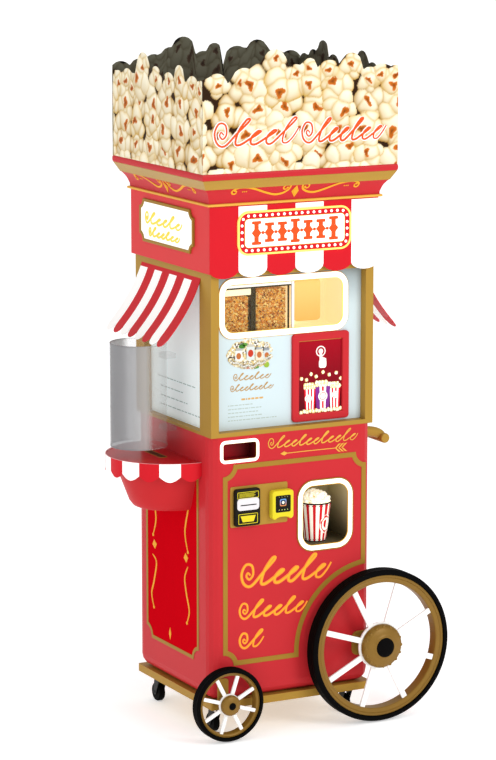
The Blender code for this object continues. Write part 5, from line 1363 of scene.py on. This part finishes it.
def make_awning(side):
    node = f"awning_{side}"
    low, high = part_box(node)
    way = -1 if side == "left" else 1
    wall = CART.x + way * (HALF_WIDTH + 0.0003)
    front, back, top = low.y, high.y, high.z
    reach, drop, thick, stripes = 0.165, 0.252, 0.0024, 8
    bm = bmesh.new()
    for stripe in range(stripes):
        red = stripe % 2 == 0
        steps = 10
        loops = []
        for step in range(steps + 1):
            across = step / steps
            y = front + (back - front) * (stripe + across) / stripes
            ending = 1.0 - 0.11 * (1.0 - math.sqrt(max(0.0, 1.0 - (2 * across - 1) ** 2)))
            shares = [0.0, 0.03, 0.06] + [0.06 + (ending - 0.10) * n / 8 for n in range(1, 9)] + [ending]
            outer, inner = [], []
            for share in shares:
                out = reach * (share + share ** 2) / 2
                slope = math.atan2(reach * (0.5 + share), drop)
                point = Vector((wall + way * out, y, top - drop * share))
                outer.append(point)
                normal = Vector((way * math.cos(slope), 0, math.sin(slope)))
                inner.append(point - normal * thick if share else point - Vector((0, 0, thick)))
            for spot in inner:
                spot.x = way * max(way * spot.x, way * wall)
            loops.append(outer + inner[::-1])
        faces = add_loops(bm, loops)
        for face in faces:
            z = face.calc_center_median().z
            if z > top - drop * 0.06:
                face.material_index = 0
            elif red:
                # lower tips of the red stripes get the lighter red
                face.material_index = 2 if z < top - drop * (ending - 0.012) or z < top - drop * 0.955 else 0
            else:
                face.material_index = 1
    piece(f"striped_{node}", bm, ["stripe_red", "glowing_stripe_white", "tip_red"],
          stands_for=[node], sharp=35)


for side in ("left", "right"):
    make_awning(side)


LEFT_WALL = CART.x - HALF_WIDTH - 0.0003


def d_shape(reach, half_width):
    """A half oval that stands off the left wall, from its back end round to its front end."""
    angles = [math.pi / 2 - math.pi * step / 40 for step in range(41)]
    return [(LEFT_WALL - reach * math.cos(a), CART.y + half_width * math.sin(a)) for a in angles]


def make_tray():
    top, reach, half, skirt, tip, stripes, steps = 1.070, 0.266, 0.246, 0.048, 0.021, 10, 80
    bm = bmesh.new()
    loops = []
    for step in range(steps + 1):
        share = step / steps
        low = top - skirt - tip * math.sin(math.pi * ((share * stripes) % 1.0))
        angle = math.pi / 2 - math.pi * share
        loop = []
        for inset, z in ((0.0, low), (0.0, top - 0.004), (0.0, top + 0.0022), (0.0008, top + 0.003),
                         (0.0030, top + 0.003), (0.0036, top + 0.002), (0.0036, low)):
            loop.append((LEFT_WALL - (reach - inset) * math.cos(angle),
                         CART.y + (half - inset) * math.sin(angle), z))
        loops.append(loop)
    faces = add_loops(bm, loops)
    for face in faces:
        middle = face.calc_center_median()
        angle = math.atan2((middle.y - CART.y) / half, -(middle.x - CART.x + HALF_WIDTH) / reach)
        stripe = int(min(stripes - 0.001, max(0.0, (0.5 - angle / math.pi) * stripes)))
        face.material_index = 0 if stripe % 2 else 1
        if middle.z > top + 0.001:
            face.material_index = 2
    slot_x = LEFT_WALL - 0.078
    slot_y = CART.y - 0.010
    outline = d_shape(reach - 0.0034, half - 0.0034)
    add_loops(bm, [at_height(outline, top - 0.008), at_height(outline, top)], finish_number=3)
    piece("side_tray_top", bm, ["stripe_red", "glowing_stripe_white", "hem_pink", "tray_red"],
          stands_for=["side_tray"], sharp=30)
    bm = bmesh.new()
    # the slot is a dark plate flush with the top: painted shade for its opening
    add_plate(bm, rounded_rect(slot_x - 0.015, slot_y - 0.070, slot_x + 0.015, slot_y + 0.070, 0.006, 0, 4),
              top - 0.003, top + 0.0004)
    add_rim(bm, lambda inset: rounded_rect(slot_x - 0.0165, slot_y - 0.0715, slot_x + 0.0165, slot_y + 0.0715,
                                           0.007, inset, 4), 0.003, top - 0.003, top + 0.0012, 0.0006, 1)
    piece("tray_slot", bm, ["dark_olive", "gold_trim"])


make_tray()


def make_bowl():
    low, high = heights("tray_bowl")
    wide, foot = 0.240, 0.165 / 0.240
    full = d_shape(wide, wide * 0.92)

    def loop(scale, z):
        return [(LEFT_WALL + (x - LEFT_WALL) * scale, CART.y + (y - CART.y) * scale, z) for x, y in full]

    bm = bmesh.new()
    rings = [(foot - 0.12, low), (foot - 0.06, low + 0.001), (foot - 0.022, low + 0.005),
             (foot + 0.004, low + 0.013)]
    for share in np.linspace(0.12, 1.0, 6):
        rings.append((foot + (1 - foot) * share, low + (high - low) * share))
    inner = [(scale - 0.012, z) for scale, z in rings[::-1][:-3]] + [(foot - 0.10, low + 0.016)]
    add_loops(bm, [loop(scale, z) for scale, z in rings + inner])
    piece("bowl_under_tray", bm, ["bowl_red"], stands_for=["tray_bowl"], sharp=50)


make_bowl()


def make_tube():
    low, high = heights("cup_tube")
    radius = 0.110
    centre = (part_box("cup_tube")[0].x + radius, CART.y, 0)
    bm = bmesh.new()
    add_turned(bm, [(radius, high - 0.001), (radius, low + 0.001), (radius - 0.001, low),
                    (radius - 0.003, low), (radius - 0.004, low + 0.001), (radius - 0.004, high - 0.001),
                    (radius - 0.003, high), (radius - 0.001, high)], centre, 96)
    piece("smoke_tube", bm, ["smoke_clear"], stands_for=["cup_tube"])
    bm = bmesh.new()
    for z in (low, high - 0.0042):
        add_turned(bm, [(radius - 0.0045, z + 0.0002), (radius - 0.0045, z + 0.004),
                        (radius + 0.0004, z + 0.004), (radius + 0.0004, z + 0.0002)], centre, 96)
    piece("tube_rims", bm, ["smoke_clear"])
    bm = bmesh.new()
    near = centre[0] + math.sqrt((radius - 0.004) ** 2 - 0.03 ** 2) - 0.001
    for z in (low + 0.050, high - 0.070):
        add_box(bm, (near, CART.y - 0.030, z), (CART.x - HALF_WIDTH - 0.0005, CART.y + 0.030, z + 0.020))
    piece("tube_brackets", bm, ["smoke_clear"])


make_tube()


def make_handle():
    low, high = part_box("push_handle")
    radius, bar_x, bar_z, root_z, arm = 0.0195, high.x - 0.0195, 1.093, 1.122, 0.021
    wall = CART.x + HALF_WIDTH + 0.0003
    half = (high.y - low.y) / 2
    bm = bmesh.new()
    profile = [(0.0, -half)] + [(radius - 0.006 + 0.006 * math.sin(a), -half + 0.006 - 0.006 * math.cos(a))
                                for a in (math.pi / 2 * s / 4 for s in range(5))]
    profile += [(r, -z) for r, z in profile[::-1]]
    add_turned(bm, profile, (0, 0, 0), 32)
    lie_down = Matrix.Rotation(math.pi / 2, 4, "X")
    bmesh.ops.transform(bm, matrix=Matrix.Translation((bar_x, CART.y, bar_z)) @ lie_down, verts=bm.verts)
    for end in (-1, 1):
        y = CART.y + end * (half - 0.036)
        turns = [math.pi / 2 * step / 10 for step in range(11)]
        path = [Vector((wall, y, root_z))]
        path += [Vector((wall + 0.020 + (bar_x - wall - 0.020) * math.sin(a), y,
                         root_z - (root_z - bar_z) * (1 - math.cos(a)))) for a in turns]
        loops = []
        for number, point in enumerate(path):
            ahead = (path[min(number + 1, len(path) - 1)] - path[max(number - 1, 0)]).normalized()
            up = ahead.cross(Vector((0, 1, 0))).normalized()
            here = arm * (1.0 - 0.12 * number / len(path))
            loops.append([point + up * here * math.cos(a) + Vector((0, 1, 0)) * here * math.sin(a)
                          for a in (math.tau * s / 24 for s in range(24))])
        add_loops(bm, loops)
        add_turned(bm, [(0.0, 0.0), (arm + 0.007, 0.0), (arm + 0.007, 0.003), (arm + 0.005, 0.006),
                        (0.0, 0.006)], (wall, y, root_z), 32, axis="X")
    piece("gold_push_handle", bm, ["gold"], stands_for=["push_handle"], sharp=40)


make_handle()


# ---------------------------------------------------------------- wagon wheels

WHEELS = {"big_wheel": dict(tyre=0.021, rim=0.032, hub=0.087, cap=0.035, nose=0.034, spoke=0.022),
          "small_wheel": dict(tyre=0.016, rim=0.014, hub=0.040, cap=0.013, nose=0.018, spoke=0.014)}

SPOKES, SPOKE_TURN = 8, 27.0
RIVETS = 16


def ring_places(centre, radius, height, count, first=0.0):
    """Even places on a circle over a wheel's centre, from a first angle in degrees."""
    angles = [math.radians(first + 360 * number / count) for number in range(count)]
    return [(centre[0] + radius * math.cos(a), centre[1] + radius * math.sin(a), centre[2] + height)
            for a in angles]


def make_wheel(name, tyre, rim, hub, cap, nose, spoke):
    low, high = span(f"{name}_tyre")
    radius, width = (high.x - low.x) / 2, high.z - low.z
    centre = ((low.x + high.x) / 2, (low.y + high.y) / 2, low.z)
    inner = radius - tyre
    bm = bmesh.new()
    bead = tyre * 0.5
    profile = [(inner + 0.0006, 0.001), (radius - bead, 0.0)]
    profile += [(radius - bead + bead * math.sin(a), bead - bead * math.cos(a)) for a in (0.5, 1.0, 1.4)]
    for number in range(3):
        z = width * (0.3 + 0.2 * number)
        profile += [(radius, z - 0.004), (radius - 0.0015, z - 0.0012), (radius - 0.0015, z + 0.0012),
                    (radius, z + 0.004)]
    profile += [(radius - bead + bead * math.sin(a), width - bead + bead * math.cos(a))
                for a in (1.4, 1.0, 0.5)]
    profile += [(radius - bead, width), (inner + 0.0006, width - 0.001)]
    add_turned(bm, profile, centre, 128)
    piece(f"{name}_rubber", bm, ["rubber"], body=name, stands_for=[f"{name}_tyre"],
          side="front")
    bm = bmesh.new()
    foot, face_z, rim_in = width * 0.12, width * 0.90, inner - rim
    spoke_z = width * 0.72
    profile = [(inner, foot), (inner, face_z - 0.004), (inner - 0.002, face_z),
               (inner - rim * 0.32, face_z + 0.001), (inner - rim * 0.40, face_z - 0.002),
               (inner - rim * 0.46, face_z - 0.001), (rim_in + 0.004, face_z - 0.003),
               (rim_in + 0.001, face_z - 0.006), (rim_in, face_z - 0.011), (rim_in, foot)]
    add_turned(bm, profile, centre, 128)
    hub_top, bore = width + nose, cap * 0.4 + 0.0003
    add_turned(bm, [(bore, width * 0.10), (hub * 0.8, width * 0.10), (hub * 0.96, width * 0.30),
                    (hub * 0.96, width * 0.80), (hub * 1.0, width * 0.86), (hub * 0.99, width + nose * 0.10),
                    (hub * 0.92, width + nose * 0.38), (hub * 0.80, width + nose * 0.56),
                    (cap * 1.55, width + nose * 0.68), (cap * 1.30, width + nose * 0.74),
                    (cap * 1.24, width + nose * 0.80), (bore, width + nose * 0.80)], centre, 96)
    white = bmesh.new()
    add_turned(white, [(hub * 0.90, width * 0.60), (hub * 1.04, width * 0.60), (hub * 1.07, width * 0.64),
                       (hub * 1.07, width * 0.76), (hub * 1.05, width * 0.80), (hub * 0.90, width * 0.80)],
               centre, 96)
    length = rim_in + rim * 0.3 - hub
    item = bmesh.new()
    add_plate(item, rounded_rect(-spoke / 2, -length / 2, spoke / 2, length / 2, 0.002, 0, 2), -0.004, 0.004,
              0.0015, lambda inset: rounded_rect(-spoke / 2, -length / 2, spoke / 2, length / 2, 0.002, inset,
                                                 2))
    place = hub + length / 2 - 0.002
    ring = ring_places(centre, place, spoke_z, SPOKES, SPOKE_TURN)
    spokes = repeated(ROW, path_mesh(ring), mesh_of(item), "white_gloss", Count=SPOKES)
    white.from_mesh(spokes)
    piece(f"{name}_spokes", white, ["white_gloss"], body=name, side="front")
    ring = ring_places(centre, hub * 0.90, width + nose * 0.38, RIVETS)
    rivets = repeated(ROW, path_mesh(ring), dome_item(hub * 0.075, hub * 0.05), "gold_line", Count=RIVETS)
    bm.from_mesh(rivets)
    piece(f"{name}_gold", bm, ["wheel_gold"], body=name, stands_for=[name], side="front")
    bm = bmesh.new()
    add_turned(bm, [(cap * 1.10, width + nose * 0.66), (cap * 1.10, width + nose * 0.84),
                    (cap * 0.98, width + nose * 0.93), (cap * 0.66, width + nose * 0.985), (0.0, hub_top),
                    (0.0, width + nose * 0.66)], centre, 64)
    piece(f"{name}_cap", bm, ["rubber"], body=name, side="front")


for name, sizes in WHEELS.items():
    make_wheel(name, **sizes)


# ---------------------------------------------------------------- ornament on the lower cabinet

WALL = HALF_DEPTH + 0.0001
SIDE_WALL = HALF_WIDTH + 0.0001
TRIM, TRIM_NOTCH = (-0.301, 0.321, 0.283, 1.070), 0.045


def ribbon(bm, outer, inner, low, high, finish_number=0):
    """A flat band between two open lines of as many points."""
    loops = [[(ax, ay, low), (bx, by, low), (bx, by, high), (ax, ay, high)] for (ax, ay),
             (bx, by) in zip(outer, inner)]
    add_loops(bm, loops, finish_number=finish_number)


def front_trim_line(inset):
    """The outline of the gold frame on the front, which steps back round the big wheel."""
    left, right, low, high = TRIM
    reach, steps = TRIM_NOTCH + inset, 10
    first = math.asin(inset / reach)

    def corner(x, y, base):
        return [(x + reach * math.cos(math.radians(base) - a), y + reach * math.sin(math.radians(base) - a))
                for a in (first + (math.pi / 2 - 2 * first) * s / steps for s in range(steps + 1))]

    arc = 0.322 + inset
    wheel_x, wheel_z = 0.348, 0.302
    start = math.pi - math.asin((low + inset - wheel_z) / arc)
    end = math.acos((right - inset - wheel_x) / arc)
    sweep = [(wheel_x + arc * math.cos(a), wheel_z + arc * math.sin(a))
             for a in (start + (end - start) * s / 40 for s in range(41))]
    return sweep + corner(right, high, 270) + corner(left, high, 360) + corner(left, low, 90)


bm = bmesh.new()
outer, inner = front_trim_line(0.0), front_trim_line(0.019)
outer, inner = outer + outer[:1], inner + inner[:1]
ribbon(bm, outer, inner, *raised(WALL, 0.0016))
piece("front_trim_frame", bm, ["gold_trim"], side="front")

bm = bmesh.new()
for start, length, height, loops, seed, width in (((-0.205, 0.592), 0.355, 0.105, 5, 17, 0.0150),
                                                  ((-0.215, 0.466), 0.270, 0.072, 5, 18, 0.0115),
                                                  ((-0.215, 0.350), 0.080, 0.070, 1, 19, 0.0105)):
    line = smooth_line(pen_loops(start, length, height, loops, slant=0.45, seed=seed), 6)
    line[:, 0] -= 0.012
    add_stroke(bm, line, width, *raised(WALL, 0.0012), thin=0.55, finish_number=1)
    add_stroke(bm, line, width * 0.55, *raised(WALL, 0.0019), thin=0.5, finish_number=0)
piece("front_flourish", bm, ["orange_ink", "orange_edge"], side="front")


def make_side_trim(side):
    way = 1 if side == "left" else -1

    def line(inset):
        return notched_rect(*((-0.241, 0.283, 0.218, 1.050) if way > 0 else (-0.218, 0.283, 0.241, 1.050)),
                            0.045, inset, 10)

    bm = bmesh.new()
    outer, inner = line(0.0), line(0.014)
    ribbon(bm, outer + outer[:1], inner + inner[:1], *raised(SIDE_WALL, 0.0016))
    add_plate(bm, line(0.0135), *raised(SIDE_WALL, 0.0004), finish_number=1)
    piece(f"{side}_trim_frame", bm, ["gold_trim", "deep_red"], side=side)
    bm = bmesh.new()
    low, high = raised(SIDE_WALL, 0.0018)

    def curl(points, width=0.010, ball=None):
        spots = [(-way * y / 1000, z / 1000) for y, z in points]
        add_stroke(bm, smooth_line(spots, 7), width, low, high, thin=0.35)
        if ball:
            add_plate(bm, disc(spots[-1][0], spots[-1][1], ball, steps=14), low, high + 0.0004)

    columns = [[(-127, 640), (-100, 592), (-113, 533), (-138, 466), (-118, 415)],
               [(184, 626), (150, 599), (172, 520), (194, 465), (174, 413)],
               [(-138, 923), (-131, 870), (-103, 774), (-128, 698)],
               [(186, 923), (182, 870), (152, 780), (178, 706)]]
    for points in columns:
        curl(points, ball=0.0065)
    for y, z in ((-111, 673), (165, 670)):
        middle = (-way * y / 1000, z / 1000)
        add_plate(bm, disc(*middle, 0.0185, steps=4, turn=math.radians(10 * way)), low, high + 0.0006)
    add_plate(bm, disc(-way * 0.031, 0.338, 0.009, 0.0245, steps=4), low, high)
    piece(f"{side}_scrollwork", bm, ["gold_ink"], side=side)


for side in ("left", "right"):
    make_side_trim(side)


# ---------------------------------------------------------------- back of the cart

def make_back():
    low, high = span("rear_door", "back")
    wall = high.z
    vents = bmesh.new()
    item = bmesh.new()
    add_plate(item, rounded_rect(-0.055, -0.004, 0.055, 0.004, 0.0039, 0, 4), -0.0005, 0.0011)
    path = path_mesh([(0.0, low.y + 0.08 + 0.022 * n, wall) for n in range(10)], closed=False)
    for x in (-0.080, 0.080):
        slots = item.copy()
        bmesh.ops.transform(slots, matrix=Matrix.Rotation(math.pi / 2, 4, "Z"), verts=slots.verts)
        row = repeated(ROW, path.copy(), mesh_of(slots), "black_plastic", Count=10)
        row.transform(Matrix.Translation((x, 0, 0)))
        vents.from_mesh(row)
    item.free()
    piece("rear_door_vents", vents, ["black_plastic"], body="rear_door", side="back", mend=False)
    low, high = span("upper_rear_panel", "back")
    ring = path_mesh([(x, y, high.z) for x, y in bar(low.x + 0.012, low.y + 0.012, high.x - 0.012,
                                                     high.y - 0.012)])
    screws = repeated(ROW, ring, dome_item(0.0042, 0.0022), "steel", Count=20)
    piece("rear_panel_screws", screws, ["steel"], side="back")


make_back()


# ---------------------------------------------------------------- floor, light and camera
SKY_STRENGTH = 0.74
LAMPS = (("key", (2.2, -6.0, 4.2), 165.0), ("fill", (-6.0, -2.0, 2.5), 45.0))
LAMP_AIM, LAMP_SIZE = Vector((0, 0, 1.2)), 3.0
CAMERA_PLACE, CAMERA_TILT, CAMERA_TURN = (-5.5514, -10.5123, 3.480), 79.73, -27.6
LENS = 146.8


def make_stage():
    bm = bmesh.new()
    bmesh.ops.create_grid(bm, x_segments=1, y_segments=1, size=60.0)
    mesh = bpy.data.meshes.new("studio_floor")
    bm.to_mesh(mesh)
    bm.free()
    mesh.materials.append(PAINT["floor"])
    floor = bpy.data.objects.new("studio_floor", mesh)
    bpy.context.scene.collection.objects.link(floor)
    scene = bpy.context.scene
    scene.view_settings.view_transform = "Standard"
    world = bpy.data.worlds.new("studio")
    scene.world = world
    world.use_nodes = True
    sky = world.node_tree.nodes["Background"].inputs
    sky["Color"].default_value, sky["Strength"].default_value = (1, 1, 1, 1), SKY_STRENGTH
    for name, place, power in LAMPS:
        lamp = bpy.data.lights.new(name, "AREA")
        lamp.size, lamp.energy = LAMP_SIZE, power
        obj = bpy.data.objects.new(name, lamp)
        obj.location = place
        obj.rotation_euler = (LAMP_AIM - Vector(place)).to_track_quat("-Z", "Y").to_euler()
        scene.collection.objects.link(obj)
    camera_data = bpy.data.cameras.new("camera")
    camera_data.lens, camera_data.sensor_width = LENS, 36.0
    camera_data.clip_end = 200.0
    camera = bpy.data.objects.new("camera", camera_data)
    camera.location = CAMERA_PLACE
    camera.rotation_euler = (math.radians(CAMERA_TILT), 0.0, math.radians(CAMERA_TURN))
    scene.collection.objects.link(camera)
    scene.camera = camera


make_stage()
